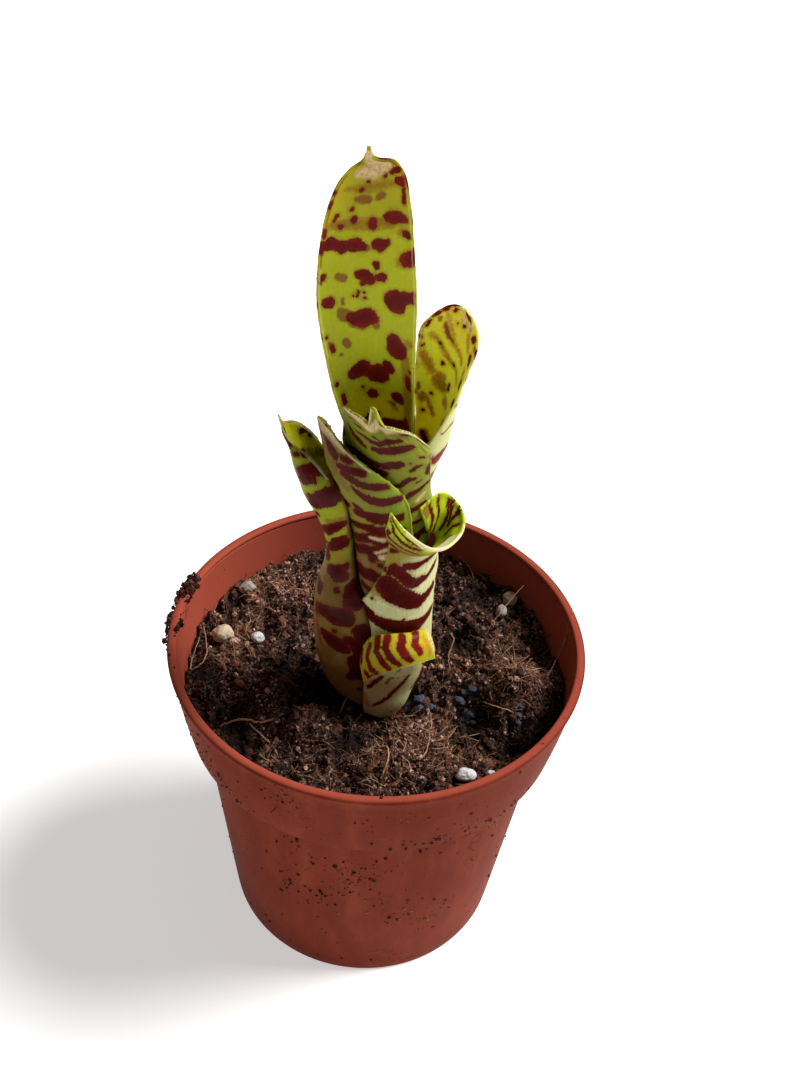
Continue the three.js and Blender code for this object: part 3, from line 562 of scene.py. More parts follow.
FRONT_MARKS = {
    "outer": {
        "maroon": [
            [(-6.3, 71.1, 0.26), (-5.1, 70.6, 0.46), (-4.1, 70, 0.28)],
            [(-9, 67.8, 0.3), (-7.7, 65.7, 0.51), (-5.7, 64.9, 0.51), (-4.1, 64.2, 0.24)],
            [(-6.5, 67.7, 0.34), (-4.9, 67.2, 0.54), (-3.1, 66.4, 0.6), (-1.1, 66.5, 0.54),
             (0.8, 67.9, 0.6), (3.4, 70, 0.6), (6.1, 71.6, 0.44)], [(-2.2, 68.8, 0.28), (-1.1, 67.6, 0.3)],
            [(-2.6, 64.6, 0.5), (-0.9, 64.8, 0.81), (1.5, 65.9, 1.01), (4.8, 68.3, 0.9), (8.1, 70.3, 0.56)],
            [(-9.3, 62, 0.72), (-6.4, 61.7, 0.72), (-4.1, 61.5, 0.51), (-2.2, 61.1, 0.51),
             (-0.6, 61, 0.61)], [(0.8, 61.3, 0.92), (3.1, 62.4, 1.02), (4, 63, 0.77)],
            [(-7.4, 60.4, 0.83), (-4.1, 60, 0.92), (-1.4, 59.3, 0.92), (1.2, 59.2, 0.82)],
            [(6.6, 61.5, 0.51), (7.7, 63.1, 0.51), (8.9, 63.8, 0.27)], [(5.9, 63.9, 0.26)],
            [(8.2, 66.5, 0.3), (9.7, 66.8, 0.41)],
            [(4.3, 56.1, 0.62), (5.5, 56.7, 0.72), (6.6, 58.4, 0.82), (8.1, 58.8, 0.45)],
            [(8.9, 57.3, 0.23), (9.8, 58, 0.25)],
            [(7.4, 52.6, 0.73), (8.6, 53.6, 0.94), (10.1, 54.2, 0.63), (11.8, 55.9, 0.52),
             (12.8, 56.9, 0.36)], [(7.4, 73.7, 0.24), (10.2, 74.7, 0.3)],
            [(12, 74.3, 0.34), (13, 74.1, 0.44), (14.2, 73.7, 0.34)],
            [(10.9, 60.6, 0.62), (11.2, 62.6, 0.93), (11.3, 64.6, 0.31)], [(6.1, 74.7, 0.26)],
            [(-0.6, 72, 0.26)], [(12.1, 49, 0.74), (9, 48.6, 0.7), (5, 48, 0.6)],
            [(-8, 52.5, 0.9), (-4, 52, 0.8), (1, 51, 0.9), (4, 50.6, 0.6)],
        ],
        "blush": [[(-4.4, 73.4, 0.5), (-3.4, 74.4, 0.4)]],
        "scorch": [
            [(-8.4, 72.6, 0.6), (-6.4, 73.2, 0.8)], [(-9, 70, 0.5), (-8.5, 66, 0.4)],
            [(11, 71, 0.5), (11.8, 66, 0.6)], [(3, 72.6, 0.4), (8, 73, 0.5)],
            [(-7.4, 75.2, 0.4), (-5.4, 73.4, 0.5), (-3.4, 73.6, 0.5)], [(13.4, 73.4, 0.5), (16, 75, 0.5)],
        ],
        "husk": [
            [(-11, 75.2, 0.5), (-7.4, 74.4, 0.9), (-4, 73.6, 1.2), (-0.9, 71.4, 1.2), (1.4, 72.6, 0.9),
             (7.2, 75.4, 0.8), (13, 76, 0.5)], [(-1.4, 75, 0.9), (-0.4, 78, 1)],
            [(12, 52.4, 0.5), (10, 50.8, 0.4)],
        ],
        "cream": [('end', -14, 20, 0.6)],
        "brown": [('low', 60, 74, 0.4), ('high', 52, 70, 0.35)],
        "seen": (-9.6, 16, 46),
    },
}
FOLDED_MARKS = {
    "outer": {
        "maroon": [
            [(1.9, 75.8, 0.49)], [(0.3, 79, 0.37), (0.3, 77.6, 0.37), (1.1, 76.7, 0.32)],
            [(2.1, 77.2, 0.29)], [(4.1, 73.7, 0.41)], [(6, 71.6, 0.66)],
            [(5, 71, 0.54), (6.1, 69.9, 0.58), (6.9, 69.3, 0.32)], [(7.8, 69.4, 0.32)],
            [(2.2, 74.4, 0.61), (2.8, 72.9, 0.98), (3.6, 71.5, 0.85)],
            [(3.7, 69.6, 0.54), (5.3, 68.5, 0.66), (6.8, 67.5, 0.73), (8.7, 66.2, 0.66)],
            [(3.9, 68, 0.42), (5.4, 66.4, 0.66), (6.6, 64.8, 0.73), (8.2, 63.5, 0.78),
             (9.9, 62.4, 0.78), (11.7, 61.3, 0.54)],
            [(4.7, 64.4, 0.3), (5.6, 62.3, 0.74), (7, 60.2, 0.99), (8.7, 58.7, 1.04),
             (10.9, 57.8, 0.92), (13, 57, 0.67)],
            [(2.5, 59.1, 0.56), (3.5, 57.2, 0.84), (4.8, 55.2, 0.89), (6.5, 54.3, 0.98),
             (9.2, 53.5, 0.89), (12, 53, 0.7)],
            [(4.2, 51.7, 0.99), (6.3, 51.3, 1.13), (8.9, 50.7, 1.41), (12, 50, 1.1)],
            [(1, 42.6, 1.17), (4, 44.3, 1.31), (6.9, 45.9, 0.86), (8.3, 48.5, 1.28)], [(2, 47, 0.49)],
            [(-1.8, 35, 0.9), (1.3, 36.9, 1.04)], [(5.5, 42, 1.02)],
            [(4.4, 37.3, 0.89), (6.8, 37.2, 1.03)], [(8, 40.9, 0.52)], [(2, 32, 0.75), (5, 31.4, 0.9)],
            [(-0.5, 36.3, 1.2), (2.2, 37.3, 1)], [(1.5, 35.3, 1.2), (5.5, 36.8, 2)],
            [(4.1, 44.5, 1.4), (6.3, 43.4, 1.4)], [(1.3, 46.4, 1.4), (5.1, 49, 1.4), (7.9, 48, 1.4)],
            [(0.8, 51.9, 1.4), (4.8, 52.2, 1.1)], [(2.2, 56.8, 1.1), (5.8, 55.7, 1.1), (9, 54.2, 0.9)],
            [(8.2, 44.7, 0.9)], [(7.6, 40.9, 0.7)], [(-0.3, 58.9, 1.2)],
        ],
        "blush": [[(3.4, 74.4, 0.4), (4.6, 72.8, 0.4)]],
        "scorch": [
            [(9.5, 43.5, 1.6), (6, 40, 1)], [(3, 49, 1), (8, 48.4, 0.7)],
            [(1, 76, 1.2), (2, 70, 1.4), (3, 64, 1)],
        ],
        "husk": [
            [(5, 49, 0.4), (8.4, 48.8, 0.4)], [(6.6, 44.5, 0.35), (9, 46.4, 0.35)],
            [(8, 43.6, 0.8), (10.5, 44.6, 0.8)],
            [(0.6, 79.4, 0.5), (1.5, 77.2, 0.6), (2.9, 75.8, 0.55), (4.3, 74, 0.6), (6.1, 71.7, 0.4)],
        ],
        "cream": [('high', 66, 80, 0.4), ('low', 66, 80, 0.3)],
        "brown": [('high', 40, 57, 0.4), ('low', 50, 66, 0.3)],
        "seen": (1.2, 20, 28),
    },
}
SWOLLEN_MARKS = {
    "outer": {
        "maroon": [
            [(2.5, 88.1, 0.35), (4.5, 88.9, 0.37)], [(6, 89, 0.74), (6.3, 88.7, 0.55)],
            [(3.3, 84.6, 0.67), (5.4, 85.6, 0.92), (7.5, 85.9, 1.12), (8.5, 85.8, 0.94), (9.1, 85.1, 0.5)],
            [(3.6, 82.9, 0.87), (5.7, 83.8, 0.92), (7, 84.1, 0.42)],
            [(4.2, 76.2, 1.39), (7.5, 79, 2), (9.8, 80.1, 2.12), (11.3, 80.2, 1.25), (11.5, 79.2, 0.88)],
            [(1.1, 65.7, 0.92), (4.6, 67, 1.22), (7.6, 68.5, 0.95), (8.9, 68.7, 0.56)],
            [(5, 62.6, 0.78), (7, 62.1, 1.17)], [(6.9, 83.2, 0.17)], [(0.6, 93.8, 0.4), (1.5, 93.3, 0.4)],
            [(3.3, 91.4, 0.3), (2.6, 89.8, 0.22)], [(2.8, 92.7, 0.27)],
            [(1.7, 59.2, 0.93), (2.1, 56.7, 0.94)],
            [(4.1, 54.2, 0.84), (6.3, 53.5, 1.61), (7.4, 52.8, 1.01)], [(6.7, 51.7, 0.61)],
            [(1.4, 48.5, 0.76)], [(3.1, 46.8, 0.86), (4, 46, 0.76)],
            [(11.7, 49.8, 1.69), (13.2, 47.7, 2.2), (14.9, 46.2, 1.63)], [(8.7, 48.7, 0.41)],
            [(7.5, 41.8, 1.1), (10, 42.8, 1.71), (12.5, 42.7, 2.22), (14.2, 41.5, 1.3)],
            [(4.6, 39.7, 0.59)], [(7.9, 34.9, 0.77), (10.1, 33.6, 1.29), (12.6, 32.7, 1.12)],
            [(11.2, 37.7, 0.48)], [(17.1, 39.5, 1.1), (18.9, 37.9, 1.45)],
            [(16.4, 34.3, 1.11), (17.6, 33, 1.74), (18.1, 30.3, 1.93), (16.6, 29.2, 1.13)],
            [(16.6, 25.4, 1.49), (14, 22.6, 0.8)], [(14.4, 17.5, 0.43)],
            [(4.9, 77.7, 1.8), (8.6, 78.3, 1.6)], [(3.6, 66.1, 1.5), (8.2, 68, 1.2)],
            [(3.9, 60.6, 1.4), (8.1, 60.2, 1.2)], [(4.5, 53.5, 1.2), (6.5, 53.1, 1.8), (8.1, 52.4, 1)],
            [(3.4, 47.3, 1.3)], [(11.2, 50.3, 1.5), (13.4, 47.6, 2.6)],
            [(4.8, 41.3, 1.2), (8.4, 42.4, 1.8), (11, 42, 2.2), (13.9, 41.8, 1.5)],
            [(12.1, 43.6, 1.2), (14, 42.8, 1)], [(8.2, 35.4, 1.2), (11.4, 34.5, 1.9), (13.9, 32.7, 1.3)],
            [(17.3, 39, 1.8), (18.9, 36.9, 2)], [(14.7, 35.9, 1.2), (16.7, 34.8, 1.5)],
            [(16.5, 29, 2), (17.1, 23.6, 2.2)], [(8, 49.2, 0.44)], [(7.9, 54.6, 0.58)],
            [(1, 84, 0.5), (-2, 84, 0.7)], [(1.4, 75.4, 1), (-2, 75, 1)], [(-1.4, 66, 0.9), (-4, 66.4, 1)],
            [(0.4, 71.6, 0.7), (3.4, 72.4, 0.6)], [(-0.6, 61, 0.7), (1.6, 61.6, 0.5)],
        ],
        "blush": [[(5, 36.5, 0.9), (7, 31, 0.7)]],
        "scorch": [
            [(6, 70, 1.4), (9, 70.4, 1.2)], [(5, 51, 2), (9, 46, 2.4), (5, 40, 2)],
            [(12, 37, 2.2), (9, 29, 2)],
        ],
        "husk": [[(0, 94.5, 1), (0.8, 92.6, 0.3)]],
        "cream": [('high', 84, 96, 0.35), ('low', 84, 94, 0.35)],
        "brown": [('high', 60, 84, 0.35), ('low', 40, 84, 0.3)],
        "seen": (-4, 30, 10),
    },
    "inner": {
        "maroon": [
            [(-5, 88.8, 0.68), (-5.9, 88.6, 0.51)], [(-7.1, 87.2, 0.56)],
            [(-10.6, 72.3, 0.92), (-10.3, 71.2, 0.87)], [(-4.6, 84.4, 0.35), (-5.4, 83.2, 0.3)],
        ],
        "scorch": [
            [(-8.4, 83.1, 0.9), (-9.2, 82.9, 1.3), (-10.3, 82.7, 0.9)],
            [(-5.6, 84.6, 0.5), (-7.6, 82.4, 0.7)],
        ],
        "husk": [[(0, 94.5, 1)]],
        "cream": [('high', 84, 96, 0.35), ('low', 86, 94, 0.3)],
        "brown": [('high', 60, 84, 0.35)],
        "seen": (-14, 14, 60),
    },
}
CUPPED_MARKS = {
    "outer": {
        "maroon": [
            [(-4.6, 48.1, 0.81), (-2.5, 48.1, 0.98), (0, 49.1, 0.82), (2.3, 49.7, 0.56), (5.5, 49.8, 0.6)],
            [(-7.6, 46.6, 0.98), (-6, 46.6, 1.37), (-4.4, 44.6, 1.05)],
            [(-3.6, 43.7, 0.89), (-1.4, 42.4, 1.06), (0.1, 43.2, 1.23), (1.6, 43, 0.73), (5.5, 45, 0.7)],
            [(-10.4, 43.2, 1.1), (-8.2, 41.1, 1.59), (-5.9, 39.2, 1.9), (-2.9, 37.9, 2.18),
             (0.3, 36.3, 2.02), (3, 36.9, 1.25), (5.6, 38.4, 0.9)],
            [(-12.3, 30.7, 1.03), (-9.6, 30.2, 1.71), (-6.7, 29.5, 1.95), (-3.3, 28.9, 1.95),
             (0, 28.5, 1.79), (2.4, 29, 1.1), (6, 30, 0.9)],
            [(-8.2, 42.7, 2.4), (-5, 40, 2.4), (-1.1, 37, 2.4)],
            [(-7.3, 47.2, 1.1), (-5.3, 45.7, 1.3), (-2.4, 43, 1.3)],
            [(-14.4, 32.8, 1.5), (-11.7, 31.5, 1.5)], [(-18.1, 57.1, 0.8)], [(-9.5, 51.5, 1)],
            [(-8.3, 45.7, 0.47)], [(-7.6, 42.8, 0.5)], [(-9.4, 46.5, 0.59)], [(-10.6, 37.2, 0.4)],
            [(-3.4, 31.3, 0.34)],
            [(-18.8, 61.2, 0.28), (-17.3, 60.6, 0.28), (-15.1, 60, 0.28), (-12.7, 59.6, 0.28),
             (-10.5, 59.6, 0.25)],
            [(-18.9, 60.1, 0.18), (-17.2, 58.4, 0.22), (-14.8, 58, 0.22), (-12.1, 58, 0.22),
             (-9.9, 58.4, 0.2)],
            [(-17.6, 56.4, 0.2), (-15.4, 56, 0.26), (-12.4, 56, 0.24), (-9.2, 56.6, 0.22)],
            [(-14, 53.6, 0.28), (-11, 53.4, 0.32), (-8, 53.6, 0.26), (-4, 54, 0.24)],
        ],
        "blush": [[(-3.6, 43.8, 0.9), (-0.4, 43.2, 1.1)]],
        "scorch": [
            [(-13.5, 59.2, 0.5), (-11, 58, 0.8), (-8.5, 57.6, 0.7)],
            [(-16, 56.6, 0.8), (-12, 56, 1.7), (-8, 56, 2), (-4, 56.6, 1.6), (0, 57.4, 0.8)],
        ],
        "cream": [('end', -14, -9.5, 0.6), ('end', -9.5, -1, 2.3), ('end', -1, 2, 1)],
        "seen": (-24, 6.4, 8),
    },
    "inner": {
        "maroon": [
            [(8.3, 61.2, 0.26), (6.2, 58.8, 0.26), (5.1, 55.9, 0.22)],
            [(7.7, 61.4, 0.25), (5.6, 59.4, 0.25), (3.9, 57.1, 0.18)],
            [(5.5, 61.6, 0.34), (4.2, 59.2, 0.28), (3.5, 57.6, 0.18)],
            [(5.8, 57.9, 0.18), (5, 55.5, 0.18)], [(13.3, 61.1, 0.28), (11.4, 59, 0.24), (9.6, 56.6, 0.2)],
            [(11, 61.4, 0.2), (9.2, 58.6, 0.22), (7.6, 55.6, 0.18)],
            [(2.6, 61, 0.2), (2, 58.4, 0.22), (1.6, 56, 0.16)], [(-1, 60, 0.2), (-1.2, 57.4, 0.2)],
        ],
        "blush": [[(14.9, 61.2, 0.7), (13.7, 60, 0.6)]],
        "scorch": [[(14, 58.6, 0.7), (12, 56.6, 0.6)]],
        "cream": [('end', -18, -2.5, 2.2)],
        "seen": (-24, 24, 48),
    },
}
FOOT_MARKS = {
    "outer": {
        "maroon": [
            [(-5.6, 17.4, 0.76), (-4.6, 20.5, 0.76), (-3.5, 23, 0.63)], [(0, 25.4, 0.4), (0.5, 26, 0.28)],
            [(-2.6, 11, 0.65), (-1, 13.1, 0.67), (0.2, 15.1, 0.77), (1.3, 18.4, 0.76),
             (2.5, 21.2, 0.64), (3.2, 22.9, 0.52)],
            [(-7, 23.2, 0.7), (-5.1, 24.9, 0.65), (-3.3, 26.3, 0.55), (-1.7, 27, 0.35)],
            [(6.4, 26.8, 0.4), (7.6, 24, 0.45), (7.4, 20, 0.5), (6, 16, 0.45)],
        ],
        "blush": [
            [(-1.9, 20.7, 0.4), (-1.6, 22.2, 0.47), (-1, 22.9, 0.47)], [(0.5, 22.8, 0.28)],
            [(1.9, 23.1, 0.31)],
        ],
        "scorch": [[(-6.5, 14, 0.9), (-4, 10, 0.9)]],
        "seen": (-30, 9, 6),
    },
    "inner": {
        "maroon": [
            [(-5, 38.4, 0.7), (-7, 41.2, 0.8), (-6.6, 43.4, 0.9), (-4.6, 45.4, 0.7)],
            [(-8.6, 38.6, 0.9), (-9.6, 41.4, 0.7)],
            [(-9, 43.6, 0.7), (-7.4, 45.8, 0.8), (-3.6, 46.2, 0.6)],
            [(-2.6, 37.6, 0.85), (-4, 40.3, 0.8), (-2.8, 42.7, 0.9), (-1.2, 45, 0.75)],
            [(-0.5, 37.4, 0.9), (-1.7, 39.7, 0.9), (-0.8, 41.9, 0.95), (1.2, 44.6, 0.75)],
            [(2.6, 37.8, 1), (1.6, 40.2, 1.15), (2.4, 42, 1.1), (3.8, 44.2, 0.8)],
            [(6.1, 37.4, 0.95), (4.9, 40, 1.05), (6, 42.4, 0.9)],
        ],
        "scorch": [
            [(7.5, 38.4, 0.4), (8.4, 40.8, 0.9), (9.2, 43.4, 0.8)], [(6.4, 40.9, 0.5), (7.4, 41.6, 0.7)],
        ],
        "husk": [[(9.8, 37.2, 0.7), (9.9, 40.2, 0.7), (10.8, 43.8, 0.5)]],
        "cream": [('end', -9, 12, 0.3)],
        "seen": (-30, 30, 28),
    },
}

# Leaves: sections, markings, how finely the skin is divided and the leaf's tints. outer and inner set how bold
# the ruled bands are on each face and bolder widens the drawn ones, in millimetres. turn is the stretch along the
# leaf where the sheath's colour turns to the blade's. side, below, base and tip tint a part, each from a distance
# in millimetres. The tall leaf's base tint is painted light, a bright yellow on its shaded lower blade, and the
# cupped leaf's side tint is partly a painted highlight on its lit right side. overlap lets the far margin reach
# over its neighbour (start, stop, how far), and flare rolls the end outwards.
LEAF_DEFAULTS = dict(
    overlap=(0, 1, 0), wander=14, tint_ends=0, below=0, outer=0, inner=-1.2, margin=0.5, dull=0.12,
    feather=0.5, flare=0, side=None)
LEAVES = {
    "leaf_1_tall": dict(
        sections=TALL_SECTIONS, marks=TALL_MARKS, across=64, along=320, seed=3,
        # Painted light: base paints the lower inner face bright yellow, brightening the blade where it lies in
        # shade.
        base=(52, (0.92, 0.80, 0.012)), bolder=0.26, inner=-0.6, margin=0.35, glow=0.5, feather=0.2,
        teeth=0.3, turn=(66, 92), pigment=(0.14, 0.004, 0.002), tip=(80, 112, (0.48, 0.38, 0.009)),
        burn=(0.30, 0.105, 0.008), sheath=(0.42, 0.42, 0.05), blade=(0.46, 0.50, 0.02),
        inside=(0.56, 0.60, 0.016)),
    "leaf_2_right": dict(
        sections=RIGHT_SECTIONS, marks=RIGHT_MARKS, across=60, along=250, seed=5,
        base=(55, (0.97, 0.92, 0.014)), bolder=0.16, outer=-0.3, inner=-0.6, dull=0.1, glow=1, feather=0.2,
        teeth=0.4, turn=(30, 56), pigment=(0.14, 0.004, 0.002), tip=(68, 88, (0.90, 0.74, 0.012)),
        burn=(0.42, 0.13, 0.006), sheath=(0.66, 0.70, 0.40), blade=(0.68, 0.70, 0.30),
        inside=(0.94, 0.98, 0.014)),
    "leaf_3_front": dict(
        sections=FRONT_SECTIONS, marks=FRONT_MARKS, across=84, along=210, seed=7,
        base=(40, (0.3, 0.3, 0.03)), bolder=0.08, margin=0.55, glow=0.25, teeth=0.5, turn=(40, 60),
        pigment=(0.06, 0.003, 0.002), side=(8, 17, (0.38, 0.46, 0.06)), tip=(70, 90, (0.46, 0.46, 0.02)),
        burn=(0.17, 0.09, 0.012), sheath=(0.29, 0.28, 0.05), blade=(0.25, 0.27, 0.012),
        inside=(0.46, 0.46, 0.02)),
    "leaf_4_folded": dict(
        sections=FOLDED_SECTIONS, marks=FOLDED_MARKS, across=72, along=220, seed=11,
        base=(52, (0.12, 0.06, 0.013)), bolder=0.12, outer=0.4, inner=-0.9, glow=0.2, feather=0.9, teeth=1,
        turn=(42, 56), pigment=(0.065, 0.004, 0.003), side=(6, 13, (0.26, 0.40, 0.018)),
        tip=(60, 80, (0.36, 0.40, 0.02)), burn=(0.17, 0.085, 0.012), sheath=(0.24, 0.115, 0.026),
        blade=(0.24, 0.22, 0.022), inside=(0.36, 0.40, 0.02)),
    "leaf_5_swollen": dict(
        sections=SWOLLEN_SECTIONS, marks=SWOLLEN_MARKS, across=80, along=260, seed=13,
        overlap=(16, 66, 1.1), base=(56, (0.13, 0.06, 0.015)), bolder=0.28, outer=0.4, inner=-1.4,
        margin=0.55, glow=0.25, feather=0.9, teeth=0.7, turn=(50, 64), pigment=(0.07, 0.004, 0.003),
        tip=(60, 90, (0.74, 0.72, 0.012)), burn=(0.17, 0.085, 0.012), sheath=(0.27, 0.125, 0.03),
        blade=(0.31, 0.34, 0.01), inside=(0.74, 0.74, 0.012)),
    "leaf_6_cupped": dict(
        sections=CUPPED_SECTIONS, marks=CUPPED_MARKS, across=88, along=180, seed=17, wander=4, tint_ends=1,
        # side and below paint the right and lower sheath pale cream-green: partly its own paler tissue, partly a
        # painted highlight where the light from the right falls.
        below=38, base=(30, (0.3, 0.2, 0.04)), bolder=0.16, outer=0.1, inner=-1.6, margin=1, dull=0.1,
        glow=0.3, feather=0.8, flare=1.5, teeth=0.4, turn=(54, 59), pigment=(0.075, 0.003, 0.002),
        side=(-7, -1, (0.78, 0.76, 0.44)), tip=(56, 70, (0.5, 0.62, 0.014)), burn=(0.26, 0.14, 0.04),
        sheath=(0.28, 0.17, 0.035), blade=(0.56, 0.74, 0.02), inside=(0.5, 0.62, 0.014)),
    "leaf_7_foot": dict(
        sections=FOOT_SECTIONS, marks=FOOT_MARKS, across=64, along=130, seed=19, wander=8,
        base=(10, (0.3, 0.25, 0.06)), bolder=-0.12, dull=0.1, glow=0.3, teeth=0.3, turn=(26, 29),
        pigment=(0.13, 0.006, 0.003), tip=(60, 80, (0.5, 0.45, 0.012)), burn=(0.50, 0.16, 0.01),
        sheath=(0.88, 0.85, 0.44), blade=(0.5, 0.5, 0.05), inside=(0.60, 0.53, 0.010)),
}
MARGIN_THICKNESS = 0.6
MIDDLE_THICKNESS = 0.8
FAR_FROM_MARKS = -9.0


def leaf_skin(sections, across, along):
    """The leaf's outer face as a grid, with each point's distance across from the middle line and along it."""
    share = np.linspace(0, 1, across + 1)
    table = np.stack([section(share) for section in sections])
    fine = np.linspace(0, 1, 40 * len(sections) + 1)
    middle = smooth_line(table[:, across // 2], fine)
    length = np.concatenate(([0], np.cumsum(np.linalg.norm(np.diff(middle, axis=0), axis=1))))
    s = np.linspace(0, length[-1], along + 1)
    points = smooth_line(table, np.interp(s, length, fine)).transpose(1, 0, 2)
    steps = np.linalg.norm(np.diff(points, axis=0), axis=2)
    q = np.concatenate((np.zeros((1, along + 1)), np.cumsum(steps, axis=0)))
    q -= q[across // 2]
    return points, q, np.broadcast_to(s, q.shape)


def stroke_field(strokes, q, s):
    """How deep a point lies inside the nearest stroke, in millimetres: below 0 outside all of them."""
    field = np.full(q.shape, FAR_FROM_MARKS)
    for stroke in strokes:
        ends = stroke if len(stroke) > 1 else stroke * 2
        for (q0, s0, r0), (q1, s1, r1) in zip(ends, ends[1:]):
            span = (q1 - q0) ** 2 + (s1 - s0) ** 2
            share = ((q - q0) * (q1 - q0) + (s - s0) * (s1 - s0)) / span if span else np.zeros_like(q)
            share = np.clip(share, 0, 1)
            far = np.hypot(q - q0 - share * (q1 - q0), s - s0 - share * (s1 - s0))
            field = np.maximum(field, r0 + share * (r1 - r0) - far)
    return field


def ruled_bands(q, s, seed):
    """Broken bands across the leaf, for the sides that no stroke covers."""
    spacing = 6.2
    wave = 2.4 * ripple(q, s * 0.3, 7, seed) + 1.2 * ripple(q, s, 2.6, seed + 1)
    phase = (s + wave) / spacing
    centre = np.abs(phase - np.floor(phase) - 0.5) * spacing
    thickness = 1.35 + 1.1 * ripple(q, s, 4.2, seed + 2)
    return thickness - centre


def rim_field(rims, q, s):
    """How deep a point lies inside the lines along the margins, in millimetres."""
    field = np.full(q.shape, FAR_FROM_MARKS)
    for side, start, stop, width in rims:
        distance = {"low": q - q[0], "high": q[-1] - q, "end": s[0, -1] - s}[side]
        place = q if side == "end" else s
        past = np.maximum(0, np.maximum(start - place, place - stop))
        field = np.maximum(field, width - np.hypot(distance, past))
    return field


LAYERS = ("maroon", "blush", "scorch", "husk", "cream", "brown")
NO_MARKS = {layer: [] for layer in LAYERS} | {"seen": None}


def face_layers(leaf, face, q, s):
    """The marking layers of one face of a leaf: strokes where they are given and ruled bands elsewhere."""
    marks = NO_MARKS | leaf["marks"].get(face, {})
    fields = {layer: stroke_field(marks[layer], q, s) for layer in LAYERS[:4]}
    for layer in LAYERS[4:]:
        fields[layer] = rim_field(marks[layer], q, s)
    bands = ruled_bands(q, s, leaf["seed"] + (20 if face == "outer" else 30)) + leaf[face]
    if marks["seen"] is not None:
        low, high, start = marks["seen"]
        outside = np.maximum(np.maximum(low - q, q - high), start - s)
        bands = bands - 4 * (1 - ease(outside, -0.5, 1.5))
    fields["maroon"] = np.maximum(fields["maroon"] + leaf["bolder"], bands)
    return fields


def leaf_piece(name, leaf, finish):
    """A leaf as one closed body: outer face, round margin, inner face and round margin, from base to tip."""
    points, q, s = leaf_skin(leaf["sections"], leaf["across"], leaf["along"])
    wide = np.gradient(points, axis=0)
    long = np.gradient(points, axis=1)
    outward = np.cross(wide, long)
    outward /= np.linalg.norm(outward, axis=2, keepdims=True)
    wide /= np.linalg.norm(wide, axis=2, keepdims=True)
    long /= np.linalg.norm(long, axis=2, keepdims=True)
    width = q[-1] - q[0]
    length = s[0, -1]
    share = np.linspace(-1, 1, leaf["across"] + 1)[:, None]
    thickness = MARGIN_THICKNESS + (1 - np.abs(share) ** 3) * (MIDDLE_THICKNESS - MARGIN_THICKNESS)
    thickness = np.minimum(thickness, 0.12 + 0.5 * width)

    # Small unevenness of the blade, and teeth along the margins.
    free = ease(s, 0.35 * length, 0.6 * length)
    uneven = 0.1 * ripple(q, s, 3.1, leaf["seed"]) + 0.05 * ripple(q, s, 1.2, leaf["seed"] + 9)
    rolled = leaf["flare"] * ease(s, length - 3.2, length) ** 1.5
    skin = points + outward * (uneven * free + rolled)[..., None]
    tooth = np.maximum(0, np.cos(s[0] * 2 * math.pi / 2.7 + 2 * ripple(s[0], s[0], 5, leaf["seed"]))) ** 8
    reach = (0.1 + 0.3 * leaf["teeth"] * tooth) * ease(s[0], 0.45 * length,
                                                       0.6 * length) * np.minimum(1, width / 4)
    inner = skin - outward * thickness[..., None]
    middle = skin - outward * (thickness / 2)[..., None]
    start, stop, overlap = leaf["overlap"]
    over = overlap * ease(s[0], start, start + 8) * ease(-s[0], -stop, 8 - stop)
    near = middle[0] - wide[0] * (thickness[0] / 2 + reach)[:, None]
    far = middle[-1] + wide[-1] * (thickness[-1] / 2 + reach + over)[:, None]
    rings = np.concatenate((skin, far[None], inner[::-1], near[None])).transpose(1, 0, 2)

    def end_ring(place, way):
        rim = middle[:, place] + way * long[:, place] * (thickness[:, place] / 2)[:, None]
        corners = (0.5 * (far[place] + rim[-1]), 0.5 * (near[place] + rim[0]))
        return np.concatenate((rim, corners[0][None], rim[::-1], corners[1][None]))

    rings = np.concatenate((end_ring(0, -1)[None], rings, end_ring(-1, 1)[None]))
    piece = new_piece(name + "_skin", rings.reshape(-1, 3), ring_faces(len(rings), rings.shape[1], False))

    layers = {face: face_layers(leaf, face, q, s) for face in ("outer", "inner")}
    half = 0.5 * np.ones_like(q[:1])

    def around(outer, inner, far_edge=None, near_edge=None):
        """Values on both faces carried on to the rings of the closed body."""
        far_edge = 0.5 * (outer[-1:] + inner[-1:]) if far_edge is None else far_edge
        near_edge = 0.5 * (outer[:1] + inner[:1]) if near_edge is None else near_edge
        ring = np.concatenate((outer, far_edge, inner[::-1], near_edge)).T
        return np.concatenate((ring[:1], ring, ring[-1:])).ravel()

    for layer in LAYERS:
        store(piece.data, layer, around(layers["outer"][layer], layers["inner"][layer]))
    store(piece.data, "outer_face", around(np.ones_like(q), np.zeros_like(q), half, half))
    across, along = around(q, q), around(s, s)
    store(piece.data, "leaf_place", np.stack((across, along, np.zeros_like(across)), axis=-1))
    merge_points(piece.data)
    piece.data.materials.append(finish)
    return piece


